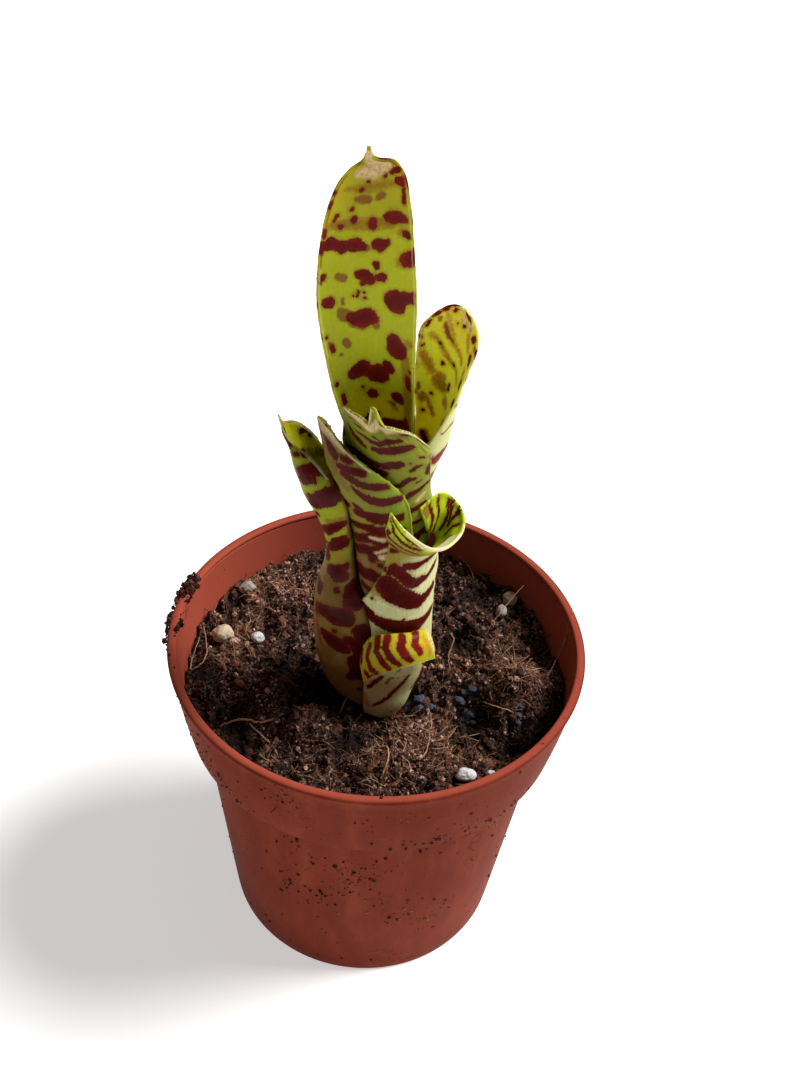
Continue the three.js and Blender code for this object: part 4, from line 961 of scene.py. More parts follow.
def leaf_finish(name, leaf, looks):
    """Banded, slightly waxy leaf: green tissue, maroon pigment, scorched and dry patches, scurf and fine ribs."""
    finish = Finish(name, **{"IOR": 1.45, "Specular IOR Level": 0.06, "Subsurface Weight": leaf["glow"],
                             "Subsurface Radius": (1, 0.9, 0.15), "Subsurface Scale": 1.1 * MM,
                             "Coat Roughness": 0.16})
    place = finish.vector_attribute("leaf_place")
    ribs = finish.vector_attribute("leaf_place", (3.2, 0.16, 1))
    across = finish.add("ShaderNodeSeparateXYZ", {}, {0: place})
    along = Value(finish, across.outputs[1])
    aside = Value(finish, across.outputs[0])
    cloud = finish.noise(place, 0.28, 2)
    mottle = finish.noise(place, 1.3, 3)
    grain = finish.noise(place, 5.5, 2)
    streaks = finish.noise(ribs, 1, 3, 0.6)
    maroon = finish.attribute("maroon")
    blush = finish.attribute("blush")
    scorch = finish.attribute("scorch")
    husk = finish.attribute("husk")
    cream = finish.attribute("cream")
    brown = finish.attribute("brown")
    outer = finish.attribute("outer_face")

    low, high = leaf["turn"]
    bladed = (along + (cloud - 0.5) * leaf["wander"]).ease(low, high)
    green = finish.mix(bladed, leaf["sheath"], leaf["blade"])
    # side tints a stretch across the leaf. On the cupped leaf its pale tint is partly the sheath's own colour and
    # partly a painted highlight where light from the right falls.
    if leaf["side"]:
        tint_low, tint_high, tint = leaf["side"]
        tinted = (aside + (cloud - 0.5) * 4).ease(tint_low, tint_high)
        if leaf["below"]:
            tinted = tinted.most(1 - (along + (mottle - 0.5) * 3).ease(leaf["below"] - 2, leaf["below"] + 2))
        green = finish.mix(tinted * (1 - bladed * leaf["tint_ends"]), green, tint)
    tip_low, tip_high, tip = leaf["tip"]
    inside = finish.mix((along + (cloud - 0.5) * 22).ease(tip_low, tip_high), leaf["inside"], tip)
    # base tints the lower part of the inner face. On the tall leaf this is painted light: a bright yellow on the
    # lower blade, which lies in shade.
    start, base = leaf["base"]
    inside = finish.mix((along + (cloud - 0.5) * 8).ease(start, start + 9), base, inside)
    green = finish.mix(outer, inside, green)
    green = finish.mix((mottle * 0.7 + streaks * 0.5 - 0.28) * 0.7, green,
                       tuple(0.6 * part for part in leaf["blade"]))
    pale = tuple(min(0.9, 0.9 * part + 0.05) for part in leaf["sheath"])
    green = finish.mix(streaks.ease(0.5, 0.75) * 0.28, green, pale)
    dull = (0.27, 0.29, 0.2)
    scurf = (grain * 0.6 + cloud * 0.8).ease(0.55, 0.95) * outer * leaf["dull"]
    green = finish.mix(scurf, green, dull)

    ragged = (mottle - 0.5) * 0.95 + (grain - 0.5) * 0.42 + (streaks - 0.5) * leaf["feather"]
    soft_edge = (cloud - 0.5) * 0.8
    scorched = (scorch + ragged * 1.2).ease(-0.7, 0.75) * (0.55 + 0.5 * mottle)
    green = finish.mix(scorched * 0.85, green, leaf["burn"])
    browned = (brown + ragged * 0.4).ease(-0.25, 0.2)
    green = finish.mix(browned * 0.75, green, leaf["burn"])
    reddened = (blush + ragged * 0.6).ease(-0.35, 0.3) * 0.75
    green = finish.mix(reddened, green, looks.blush[:])

    fleck_cells = finish.cells(place, 0.42)
    fleck_pick = finish.noise(place, 0.9, 1)
    flecks = fleck_cells.ease(0.085, 0.05) * fleck_pick.ease(0.54, 0.6)
    pigment_depth = (maroon + ragged).ease(-0.16, 0.2)
    halo = (maroon + ragged * 0.6 + soft_edge).ease(-0.9, 0.25) * 0.4
    green = finish.mix(halo, green, tuple(0.5 * b + 0.5 * p for b, p in zip(leaf["burn"], leaf["pigment"])))
    deep = tuple(0.5 * part for part in leaf["pigment"])
    warm = tuple(min(1, part * 1.8 + 0.002) for part in leaf["pigment"])
    pigment = finish.mix((mottle * 0.6 + cloud * 0.6).ease(0.45, 0.8), leaf["pigment"], warm)
    pigment = finish.mix(maroon.ease(0.3, 1.6) * 0.5, pigment, deep)
    colour = finish.mix(pigment_depth, green, pigment)
    colour = finish.mix(flecks * 0.8, colour, leaf["pigment"])

    dried = (husk + ragged * 0.9).ease(-0.5, 0.5)
    dry = finish.mix(mottle.ease(0.35, 0.7), looks.husk[:], tuple(0.6 * part for part in looks.husk))
    colour = finish.mix(dried * 0.92, colour, dry)
    lined = (cream + ragged * 0.25).ease(-0.12, 0.16) * (0.75 + 0.35 * cloud.ease(0.4, 0.55)) * leaf["margin"]
    colour = finish.mix(lined, colour, looks.margin[:])

    relief = streaks * 0.5 + grain * 0.18 + mottle * 0.5 + pigment_depth * 0.25
    roughness = 0.34 + 0.2 * mottle + 0.25 * dried - 0.06 * pigment_depth
    return finish.done(Base_Color=colour, Roughness=roughness, Coat_Weight=0.04 * (1 - dried),
                       Normal=finish.bump(relief, 0.09, 0.8))


# Pot

def pot_profile():
    """Radius and height from the middle of the underside, round the lip and down to the middle of the floor."""
    collar_inside = COLLAR_BOTTOM_RADIUS - WALL
    lip_middle = POT_HEIGHT - LIP_HEIGHT / 2
    outside = [
        (0, FOOT_HEIGHT), (BASE_RADIUS - FOOT_WIDTH - 0.3, FOOT_HEIGHT),
        (BASE_RADIUS - FOOT_WIDTH, FOOT_HEIGHT - 0.3),
        (BASE_RADIUS - FOOT_WIDTH, 0.25), (BASE_RADIUS - FOOT_WIDTH + 0.3, 0), (BASE_RADIUS - 1.3, 0),
        (BASE_RADIUS - 0.5, 0.22), (BASE_RADIUS - 0.05, 0.9),
    ]
    body = [
        (BASE_RADIUS + share * (BODY_TOP_RADIUS - BASE_RADIUS), 0.9 + share * (COLLAR_BASE - 1.8))
        for share in np.linspace(0.04, 1, 14)
    ]
    step = [
        (BODY_TOP_RADIUS + 0.3, COLLAR_BASE - 0.5), (COLLAR_BOTTOM_RADIUS - 0.6, COLLAR_BASE - 0.15),
        (COLLAR_BOTTOM_RADIUS - 0.1, COLLAR_BASE + 0.15),
    ]
    collar = [
        (COLLAR_BOTTOM_RADIUS + share * (COLLAR_TOP_RADIUS - COLLAR_BOTTOM_RADIUS) + 0.25
         * math.sin(math.pi * share),
         COLLAR_BASE + 0.6 + share * (COLLAR_HEIGHT - LIP_HEIGHT - 0.9))
        for share in np.linspace(0, 1, 8)
    ]
    lip = []
    for turn in np.radians(np.arange(-70, 251, 20)):
        middle = RIM_RADIUS - LIP_WIDTH / 2
        lip.append((middle + LIP_WIDTH / 2 * math.copysign(abs(math.cos(turn)) ** 0.6, math.cos(turn)),
                    lip_middle + LIP_HEIGHT / 2 * math.copysign(abs(math.sin(turn)) ** 0.8, math.sin(turn))))
    inside = [
        (INNER_LIP_RADIUS + 0.1, POT_HEIGHT - LIP_HEIGHT - 0.2),
        (collar_inside + 0.1, COLLAR_BASE + WALL + 0.3), (collar_inside - 0.3, COLLAR_BASE + WALL),
        (BODY_TOP_RADIUS - WALL + 0.3, COLLAR_BASE + WALL),
        (BODY_TOP_RADIUS - WALL, COLLAR_BASE + WALL - 0.4),
        (BASE_RADIUS - WALL, INNER_FLOOR + 0.5), (BASE_RADIUS - WALL - 0.5, INNER_FLOOR), (0, INNER_FLOOR),
    ]
    return outside + body + step + collar + lip + inside


def pot_tree():
    """Geometry nodes: a profile swept round a circle, with a ring of drain holes cut through the floor."""
    tree = bpy.data.node_groups.new("turned_pot", "GeometryNodeTree")
    for name, kind in (("Profile", "NodeSocketGeometry"), ("Sides", "NodeSocketInt"),
                       ("Holes", "NodeSocketInt"),
                       ("Hole ring", "NodeSocketFloat"), ("Hole radius", "NodeSocketFloat"),
                       ("Plastic", "NodeSocketMaterial")):
        tree.interface.new_socket(name=name, in_out="INPUT", socket_type=kind)
    tree.interface.new_socket(name="Pot", in_out="OUTPUT", socket_type="NodeSocketGeometry")
    given = add_node(tree, "NodeGroupInput").outputs
    to_curve = add_node(tree, "GeometryNodeMeshToCurve", {}, {"Mesh": given["Profile"]})
    circle = add_node(tree, "GeometryNodeCurvePrimitiveCircle", {},
                      {"Resolution": given["Sides"], "Radius": MM * 1e-3})
    swept = add_node(tree, "GeometryNodeCurveToMesh", {}, {"Curve": circle.outputs[0],
                                                           "Profile Curve": to_curve.outputs[0]})
    welded = add_node(tree, "GeometryNodeMergeByDistance", {},
                      {"Geometry": swept.outputs[0], "Distance": 0.01 * MM})
    ring = add_node(tree, "GeometryNodeCurvePrimitiveCircle", {},
                    {"Resolution": given["Holes"], "Radius": given["Hole ring"]})
    drill = add_node(tree, "GeometryNodeMeshCylinder", {},
                     {"Vertices": 32, "Radius": given["Hole radius"], "Depth": 12 * MM})
    drills = add_node(tree, "GeometryNodeInstanceOnPoints", {},
                      {"Points": ring.outputs[0], "Instance": drill.outputs[0]})
    real = add_node(tree, "GeometryNodeRealizeInstances", {}, {0: drills.outputs[0]})
    cut = add_node(tree, "GeometryNodeMeshBoolean", {"operation": "DIFFERENCE", "solver": "EXACT"},
                   {"Mesh 1": welded.outputs[0], "Mesh 2": real.outputs[0]})
    dressed = add_node(tree, "GeometryNodeSetMaterial", {},
                       {"Geometry": cut.outputs[0], "Material": given["Plastic"]})
    out = add_node(tree, "NodeGroupOutput")
    tree.links.new(dressed.outputs[0], out.inputs["Pot"])
    return tree


def add_node(tree, kind, settings=None, inputs=None):
    """A node of any tree: its settings first, then the values or links of its sockets."""
    node = tree.nodes.new(kind)
    for name, setting in (settings or {}).items():
        setattr(node, name, setting)
    for name, value in (inputs or {}).items():
        if isinstance(value, bpy.types.NodeSocket):
            tree.links.new(value, node.inputs[name])
        else:
            node.inputs[name].default_value = value
    return node


def grown(carrier, tree, name, **inputs):
    """Runs a geometry node tree on a carrier, and returns the result as a plain mesh object."""
    modifier = carrier.modifiers.new(tree.name, "NODES")
    modifier.node_group = tree
    sockets = {item.name: item.identifier for item in tree.interface.items_tree if item.in_out == "INPUT"}
    for label, value in inputs.items():
        modifier[sockets[label.replace("_", " ")]] = value
    bpy.context.view_layer.update()
    evaluated = carrier.evaluated_get(bpy.context.evaluated_depsgraph_get())
    mesh = bpy.data.meshes.new_from_object(evaluated)
    piece = bpy.data.objects.new(name, mesh)
    mesh.name = name
    bpy.context.scene.collection.objects.link(piece)
    carrier.modifiers.remove(modifier)
    return piece


def drop(*pieces):
    for piece in pieces:
        bpy.data.objects.remove(piece)


def pot_finish(looks):
    """Terracotta-coloured plastic: faint flow lines, scuffs, dried splashes and specks of soil, with painted
    light: paler where it faces inwards, as lit, and darker outside, as shaded.
    """
    finish = Finish("pot_plastic", **{"IOR": 1.46, "Specular IOR Level": 0.015, "Subsurface Weight": 0.05,
                                      "Subsurface Scale": 1 * MM, "Coat Roughness": 0.35})
    place = finish.place()
    split = finish.add("ShaderNodeSeparateXYZ", {}, {0: place})
    height = Value(finish, split.outputs[2])
    cloud = finish.noise(place, 0.035, 3)
    haze = finish.noise(finish.place((1, 1, 0.25)), 0.16, 4, 0.6)
    fine = finish.noise(place, 2.4, 3, 0.6)
    scuff = finish.noise(finish.place((1, 1, 5)), 0.12, 3, 0.6)
    colour = finish.mix((cloud * 0.6 + haze * 0.55).ease(0.38, 0.75), looks.plastic[:],
                        looks.plastic_faded[:])
    # Painted light: the plastic is painted paler where it faces inwards, as the lit inner wall, while the outer
    # plastic is the darker, shaded copy.
    colour = finish.mix(finish.attribute("inward") * (0.85 + 0.3 * haze), colour, looks.inner[:])
    dusty = (haze * 0.8 + fine * 0.3).ease(0.52, 0.85) * 0.2
    colour = finish.mix(dusty, colour, looks.dust[:])
    colour = finish.mix(scuff.ease(0.6, 0.72) * fine.ease(0.4, 0.7) * 0.22, colour, looks.dust[:])

    # Soil that stuck to the wall: smears where the noise is high, round specks and fine grit.
    patch = finish.noise(place, 0.075, 3, 0.55)
    crumbly = finish.noise(place, 0.75, 4, 0.7)
    smear = (patch * 0.62 + crumbly * 0.5).ease(0.66, 0.74)
    specks = finish.cells(place, 0.34).ease(0.13, 0.07) * finish.noise(place, 0.21, 2).ease(0.5, 0.58)
    grit = finish.cells(place, 0.9).ease(0.14, 0.08) * patch.ease(0.48, 0.6)
    dirt = (smear * 0.55).most(specks).most(grit * 0.85)
    soil = finish.mix(crumbly, looks.dirt[:], tuple(2.6 * part for part in looks.dirt))
    colour = finish.mix(dirt * 0.86, colour, soil)
    inside = height.ease(2, 6)
    relief = fine * 0.25 + scuff * 0.2 + dirt * 0.9 + cloud * 0.2 * inside
    return finish.done(Base_Color=colour, Roughness=0.42 + 0.2 * haze + 0.3 * dirt,
                       Coat_Weight=0.02 * (1 - dirt),
                       Normal=finish.bump(relief, 0.12, 0.6))


# Soil

SOIL_LEVEL = 81.5
CRUMB_HEIGHT = 1.1
SAUCER_RADIUS = 9.5
NEAR_PLANT_LEVEL = 80.5
SOIL_CLEARANCE = 0.4
SOIL_FORMS = [
    (-26, 24, 17, 2.6), (-23.5, -11.5, 6.5, 3.4), (-13.5, -22.5, 8, 4.4), (35, -6, 12, 5.4), (13, -31, 14, 3),
    (24, 22, 13, 1.8), (-11, -9, 10, -6.2), (12, -8, 6.5, -3.4), (24, -13.5, 6.5, -4.6), (36, -24, 8.5, -5.2),
    (44, 11, 10, -3.2), (-36, -18, 9, -2.4),
]


def soil_height(x, y):
    """Lumps and pits on the soil's level, a crumbly ripple, and a saucer round the plant's foot."""
    z = np.full_like(x, SOIL_LEVEL, dtype=float)
    for cx, cy, radius, height in SOIL_FORMS:
        far = np.hypot(x - cx, y - cy) / radius
        z += height * np.exp(-1.6 * far * far)
    crumbs = np.sin(0.71 * x + 1.3 * np.sin(0.37 * y)) * np.cos(0.63 * y + 1.1 * np.sin(0.41 * x))
    crumbs += 0.6 * np.sin(1.57 * x - 0.9 * y) * np.sin(1.21 * y + 0.4 * x)
    crumbs += 0.7 * np.sin(0.29 * x + 0.8 * np.cos(0.23 * y)) * np.sin(0.33 * y - 0.17 * x)
    z += CRUMB_HEIGHT * crumbs
    foot = np.hypot(x - PLANT_FOOT[0], y - PLANT_FOOT[1])
    saucer = np.exp(-((foot / SAUCER_RADIUS) ** 4))
    return z + saucer * np.minimum(0, NEAR_PLANT_LEVEL - z)


def crumbled_height(x, y):
    """The soil's height with its finer crumbs, opened for the stem and the leaf bases."""
    z = soil_height(x, y)
    fine = 0.95 * ripple(x, y, 2.1, 41) + 0.6 * ripple(x + 50, y, 1.05,
                                                       42) + 0.3 * ripple(x, y + 50, 0.55, 43)
    pits = ripple(x, y, 3.4, 44) + 0.5 * ripple(x, y, 1.5, 45)
    z = z + fine - 2.4 * ease(-pits, 0.3, 1)
    for cx, cy, reach, height in SOIL_LUMPS:
        z = z + height * np.exp(-(np.hypot(x - cx, y - cy) / reach) ** 4)
    seat = np.hypot(x - SEAT_CENTRE[0], y - SEAT_CENTRE[1])
    slope = (SEAT_BRIM - SEAT_FLOOR) / (SEAT_BRIM_RADIUS - SEAT_RADIUS)
    z = np.minimum(z, SEAT_FLOOR + np.maximum(0, seat - SEAT_RADIUS) * slope)
    stem = np.hypot(x - PLANT_FOOT[0], y - PLANT_FOOT[1])
    deep = ease(stem, STEM_RADIUS + SEAT_GAP, STEM_RADIUS + 2 * SEAT_GAP)
    return (STEM_BOTTOM - SEAT_GAP) * (1 - deep) + z * deep


# Places on the soil, each with its reach: dark patches that are partly painted shadow, as of the plant's shadow at
# its left, and partly damp soil; dry lumps; and tufts of coir.
SHADOW_AND_DAMP_PLACES = ((-12.5, -5.5, 9), (-21.5, -2, 6), (-18.5, -10, 5), (8.7, -12.2, 5), (26.3, -14.7, 6),
               (41, -19, 7),
               (-4.7, -26.6, 4), (-43, -7, 5), (-32.3, -26.6, 6), (27.2, 30.6, 7), (25, 13.5, 5.5),
               (46, -10, 5))
DRY_PLACES = ((-28.8, 27.8, 8), (-32, 20.5, 7), (43, -1, 6), (37, 0, 8), (31, 10.4, 5), (21.5, 2.7, 4),
              (-36.2, 5.8, 6),
              (15.6, -21.7, 7), (7.9, -29.9, 6), (-39, 0, 5), (-14, -21, 4), (-25.5, -11, 4))
COIR_PLACES = ((3, -26, 6), (7.5, -22.2, 5), (0.7, -30.7, 6), (17.5, -28, 7), (-30.5, 21.9, 6),
               (34, 12, 5), (-36, 3, 6),
               (37, -3, 6))
# Lumps and hollows that only the crumbled surface has: middle, reach and height.
SOIL_LUMPS = ((-14.3, -21, 6.3, 2.2), (-25, -11, 5.6, 2), (37.5, -5, 10, 1.8), (-21, -2.5, 5.5, -1.6),
              (25.5, -15, 6, -1.8),
              (-3.5, -25, 4.5, -1.8), (21, 12, 6, -1.4), (-33, -21, 5, -1.4), (30, 9.5, 4, 1.2),
              (12, -24, 6, 1.1))


# Heaps of blue-grey clods: middle, and how many lie there.
CLOD_PLACES = ((13, -9, 6), (14.7, -7.4, 3), (24.4, -6, 4), (24.2, -11.5, 7), (23, -9.9, 5), (36.4, -13.5, 4))


def nearness(x, y, places):
    """1 in the middle of a place and falling to 0 outside all of them."""
    return np.max([np.exp(-((x - cx) ** 2 + (y - cy) ** 2) / reach ** 2) for cx, cy, reach in places], axis=0)


def painted_shade_and_damp(x, y, z):
    """Painted shade and damp: darker in hollows, where shade falls, and in the listed patches of painted shadow
    and damp.
    """
    # Painted shade: the further a point lies below the smooth soil, the darker it is painted.
    hollow = ease(soil_height(x, y) - z, -0.6, 2.2)
    return np.clip(0.75 * hollow + nearness(x, y, SHADOW_AND_DAMP_PLACES), 0, 1)


def soil_wall_radius(z):
    low = COLLAR_BASE + WALL
    share = (z - low) / (POT_HEIGHT - LIP_HEIGHT - low)
    inside = COLLAR_BOTTOM_RADIUS - WALL
    return inside + share * (INNER_LIP_RADIUS - inside) - SOIL_CLEARANCE


def soil_top(rings, spokes):
    """Points of the soil's surface on a round grid, ring by ring, with the first ring at the middle."""
    ring, spoke = np.meshgrid(np.arange(rings + 1), np.arange(spokes), indexing="ij")
    angle = (spoke + 0.5 * (ring % 2)) * 2 * math.pi / spokes
    radius = soil_wall_radius(SOIL_LEVEL) * ring / rings
    x, y = radius * np.cos(angle), radius * np.sin(angle)
    z = crumbled_height(x, y)
    reach = 1 + (radius / radius.max()) ** 6 * (soil_wall_radius(z) / soil_wall_radius(SOIL_LEVEL) - 1)
    return np.stack((x * reach, y * reach, z), axis=-1)


def soil_piece(name, rings, spokes, finish):
    top = soil_top(rings, spokes)
    low = COLLAR_BASE + WALL + SEAT_GAP
    angle = np.arange(spokes) * 2 * math.pi / spokes
    sides = [
        (soil_wall_radius(low), low), (BODY_TOP_RADIUS - WALL - SOIL_CLEARANCE, low),
        (BASE_RADIUS - WALL - SOIL_CLEARANCE, INNER_FLOOR + SEAT_GAP), (0.01, INNER_FLOOR + SEAT_GAP),
    ]
    below = [np.stack((r * np.cos(angle), r * np.sin(angle), np.full_like(angle, z)), axis=-1) for r,
             z in sides]
    rows = np.concatenate((top, below))
    faces = [face[::-1] for face in ring_faces(len(rows), spokes, False)]
    piece = new_piece(name, rows.reshape(-1, 3), faces)
    x, y, z = rows.reshape(-1, 3).T
    # Painted shade in hollows and painted shadow patches, together with damp, kept for the material.
    store(piece.data, "shade_and_damp", painted_shade_and_damp(x, y, z))
    store(piece.data, "dry", nearness(x, y, DRY_PLACES))
    merge_points(piece.data, 0.02)
    piece.data.materials.append(finish)
    return piece


def soil_finish(looks):
    """Dark peat with reddish coir and paler crumbs."""
    finish = Finish("soil_peat", **{"IOR": 1.4, "Specular IOR Level": 0.25})
    place = finish.place()
    cloud = finish.noise(place, 0.09, 3)
    crumbs = finish.noise(place, 0.8, 5, 0.7)
    grit = finish.cells(place, 1.6)
    shade_and_damp = finish.attribute("shade_and_damp")
    dry = finish.attribute("dry")
    colour = finish.mix((crumbs + dry * 0.12).ease(0.42, 0.64), looks.peat[:], looks.crumb[:])
    colour = finish.mix((crumbs * 0.6 + cloud * 0.5 + dry * 0.12).ease(0.6, 0.78), colour, looks.coir[:])
    colour = finish.mix(grit.ease(0.35, 0.7) * crumbs.ease(0.45, 0.7) * 0.5, colour, looks.pale_crumb[:])
    # Painted shade and shadow, with damp, darken the soil towards wet peat.
    colour = finish.mix(shade_and_damp * 0.85, colour, tuple(0.6 * part for part in looks.peat))
    relief = crumbs * 0.8 + grit * 0.4
    return finish.done(Base_Color=colour, Roughness=0.88 - 0.15 * grit, Normal=finish.bump(relief, 0.6, 1))


def crumb_finish(name, peat, first, second, third):
    """Loose crumbs: each has its own tone between three colours, and is darker under painted shade, painted shadow
    and damp.
    """
    finish = Finish(name, **{"IOR": 1.4, "Specular IOR Level": 0.2})
    place = finish.place()
    tone = finish.attribute("tone")
    shade_and_damp = finish.attribute("shade_and_damp")
    dry = finish.attribute("dry")
    grain = finish.noise(place, 2.2, 4, 0.65)
    colour = finish.mix((tone * 1.1 + dry * 0.3 + (grain - 0.5) * 0.6).ease(0, 0.9), first, second)
    colour = finish.mix((tone + dry * 0.4 + (grain - 0.5) * 0.7).ease(0.72, 1.02), colour, third)
    # Painted shade and shadow, with damp, darken the crumbs towards peat.
    colour = finish.mix(shade_and_damp * 0.82, colour, peat)
    return finish.done(Base_Color=colour, Roughness=0.75 + 0.2 * grain, Normal=finish.bump(grain, 0.35, 0.9))


def scatter_tree(name, lying):
    """Geometry nodes: shapes from a collection strewn over a surface, each turned, sized and toned at random.

    lying keeps their long axis near the surface, as fibres lie. The carrier's own faces aren't in the result."""
    tree = bpy.data.node_groups.new(name, "GeometryNodeTree")
    for label, kind in (("Surface", "NodeSocketGeometry"), ("Per square centimetre", "NodeSocketFloat"),
                        ("Smallest", "NodeSocketFloat"), ("Largest", "NodeSocketFloat"),
                        ("Skew", "NodeSocketFloat"),
                        ("Seed", "NodeSocketInt"), ("Shapes", "NodeSocketCollection"),
                        ("Finish", "NodeSocketMaterial")):
        tree.interface.new_socket(name=label, in_out="INPUT", socket_type=kind)
    tree.interface.new_socket(name="Strewn", in_out="OUTPUT", socket_type="NodeSocketGeometry")
    given = add_node(tree, "NodeGroupInput").outputs

    def number(kind, low, high, offset):
        seed = add_node(tree, "ShaderNodeMath", {"operation": "ADD"},
                        {0: given["Seed"], 1: offset}).outputs[0]
        node = add_node(tree, "FunctionNodeRandomValue", {"data_type": kind}, {"Seed": seed})
        used = [socket for socket in node.inputs if socket.enabled]
        used[0].default_value, used[1].default_value = low, high
        return next(socket for socket in node.outputs if socket.enabled)

    def maths(operation, *values):
        return add_node(tree, "ShaderNodeMath", {"operation": operation}, dict(enumerate(values))).outputs[0]

    litter = add_node(tree, "GeometryNodeInputNamedAttribute", {"data_type": "FLOAT"},
                      {"Name": "litter"}).outputs[0]
    density = maths("MULTIPLY", maths("MULTIPLY", given["Per square centimetre"], 10000), litter)
    spread = add_node(tree, "GeometryNodeDistributePointsOnFaces", {},
                      {"Mesh": given["Surface"], "Density": density, "Seed": given["Seed"]})
    shapes = add_node(tree, "GeometryNodeCollectionInfo", {},
                      {"Collection": given["Shapes"], "Separate Children": True, "Reset Children": True})
    tilt = 0.55 if lying else math.pi
    turn = number("FLOAT_VECTOR", (-tilt, -tilt, -math.pi), (tilt, tilt, math.pi), 3)
    share = maths("POWER", number("FLOAT", 0, 1, 5), given["Skew"])
    span = maths("SUBTRACT", given["Largest"], given["Smallest"])
    size = maths("ADD", given["Smallest"], maths("MULTIPLY", span, share))
    stretch = number("FLOAT_VECTOR", (0.7, 0.7, 0.7), (1.3, 1.3, 1.3), 7)
    scale = add_node(tree, "ShaderNodeVectorMath", {"operation": "SCALE"},
                     {0: stretch, "Scale": size}).outputs[0]
    placed = add_node(tree, "GeometryNodeInstanceOnPoints", {},
                      {"Points": spread.outputs[0], "Instance": shapes.outputs[0], "Pick Instance": True,
                       "Rotation": turn, "Scale": scale})
    toned = add_node(tree, "GeometryNodeStoreNamedAttribute", {"data_type": "FLOAT", "domain": "INSTANCE"},
                     {"Geometry": placed.outputs[0], "Name": "tone", "Value": number("FLOAT", 0, 1, 11)})
    real = add_node(tree, "GeometryNodeRealizeInstances", {}, {0: toned.outputs[0]})
    dressed = add_node(tree, "GeometryNodeSetMaterial", {},
                       {"Geometry": real.outputs[0], "Material": given["Finish"]})
    out = add_node(tree, "NodeGroupOutput")
    tree.links.new(dressed.outputs[0], out.inputs["Strewn"])
    return tree


def shape_set(name, shapes):
    """A collection of prototype shapes, outside the scene, for a scatter tree to pick from."""
    collection = bpy.data.collections.new(name)
    for shape in shapes:
        bpy.context.scene.collection.objects.unlink(shape)
        collection.objects.link(shape)
    return collection


def crumb_shapes(count, subdivisions, seed):
    """Unit crumbs, knobbly and cornered."""
    random = np.random.default_rng(seed)
    shapes = []
    for index in range(count):
        work = bmesh.new()
        bmesh.ops.create_icosphere(work, subdivisions=subdivisions, radius=1)
        lobes = random.normal(size=(7, 3))
        lobes /= np.linalg.norm(lobes, axis=1, keepdims=True)
        depth = random.uniform(-0.5, 0.5, 7)
        points = np.array([vertex.co for vertex in work.verts])
        swell = 0.8 + (np.maximum(0, points @ lobes.T) ** 3
                       * depth).sum(axis=1) + random.uniform(-0.12, 0.12, len(points))
        faces = [[vertex.index for vertex in face.verts] for face in work.faces]
        work.free()
        shapes.append(new_piece(f"crumb_shape_{seed}_{index}", points * swell[:, None] / MM, faces,
                                smooth=False))
    return shapes


def tube(points, radius, sides=5, taper=0.4):
    """Points and faces of a closed tube along a line, which narrows towards both ends."""
    points = np.asarray(points, float)
    tangent = np.gradient(points, axis=0)
    tangent /= np.linalg.norm(tangent, axis=1, keepdims=True)
    side = np.cross(tangent, (0.13, 0.21, 0.97))
    side /= np.linalg.norm(side, axis=1, keepdims=True)
    up = np.cross(side, tangent)
    turn = np.arange(sides) * 2 * math.pi / sides
    share = np.linspace(0, 1, len(points))
    thick = radius * (taper + (1 - taper) * np.sin(math.pi * (0.08 + 0.84 * share)))
    spokes = np.cos(turn)[None, :, None] * side[:, None] + np.sin(turn)[None, :, None] * up[:, None]
    rings = points[:, None] + spokes * thick[:, None, None]
    faces = [face[::-1] for face in ring_faces(len(points), sides)]
    return rings.reshape(-1, 3), faces


def fibre_shapes(count, seed):
    """Unit fibres: thin, curved and about ten times as long as a crumb is wide."""
    random = np.random.default_rng(seed)
    shapes = []
    for index in range(count):
        share = np.linspace(-1, 1, 4)
        bend = random.uniform(-0.5, 0.5, 4)
        line = np.stack((share, bend[0] * share ** 2 + bend[1] * share ** 3 * 0.6,
                         bend[2] * share ** 2 * 0.8 + bend[3] * share ** 3 * 0.5), axis=-1)
        points, faces = tube(line / MM, 0.045 / MM, 3, 0.5)
        shapes.append(new_piece(f"fibre_shape_{seed}_{index}", points, faces))
    return shapes


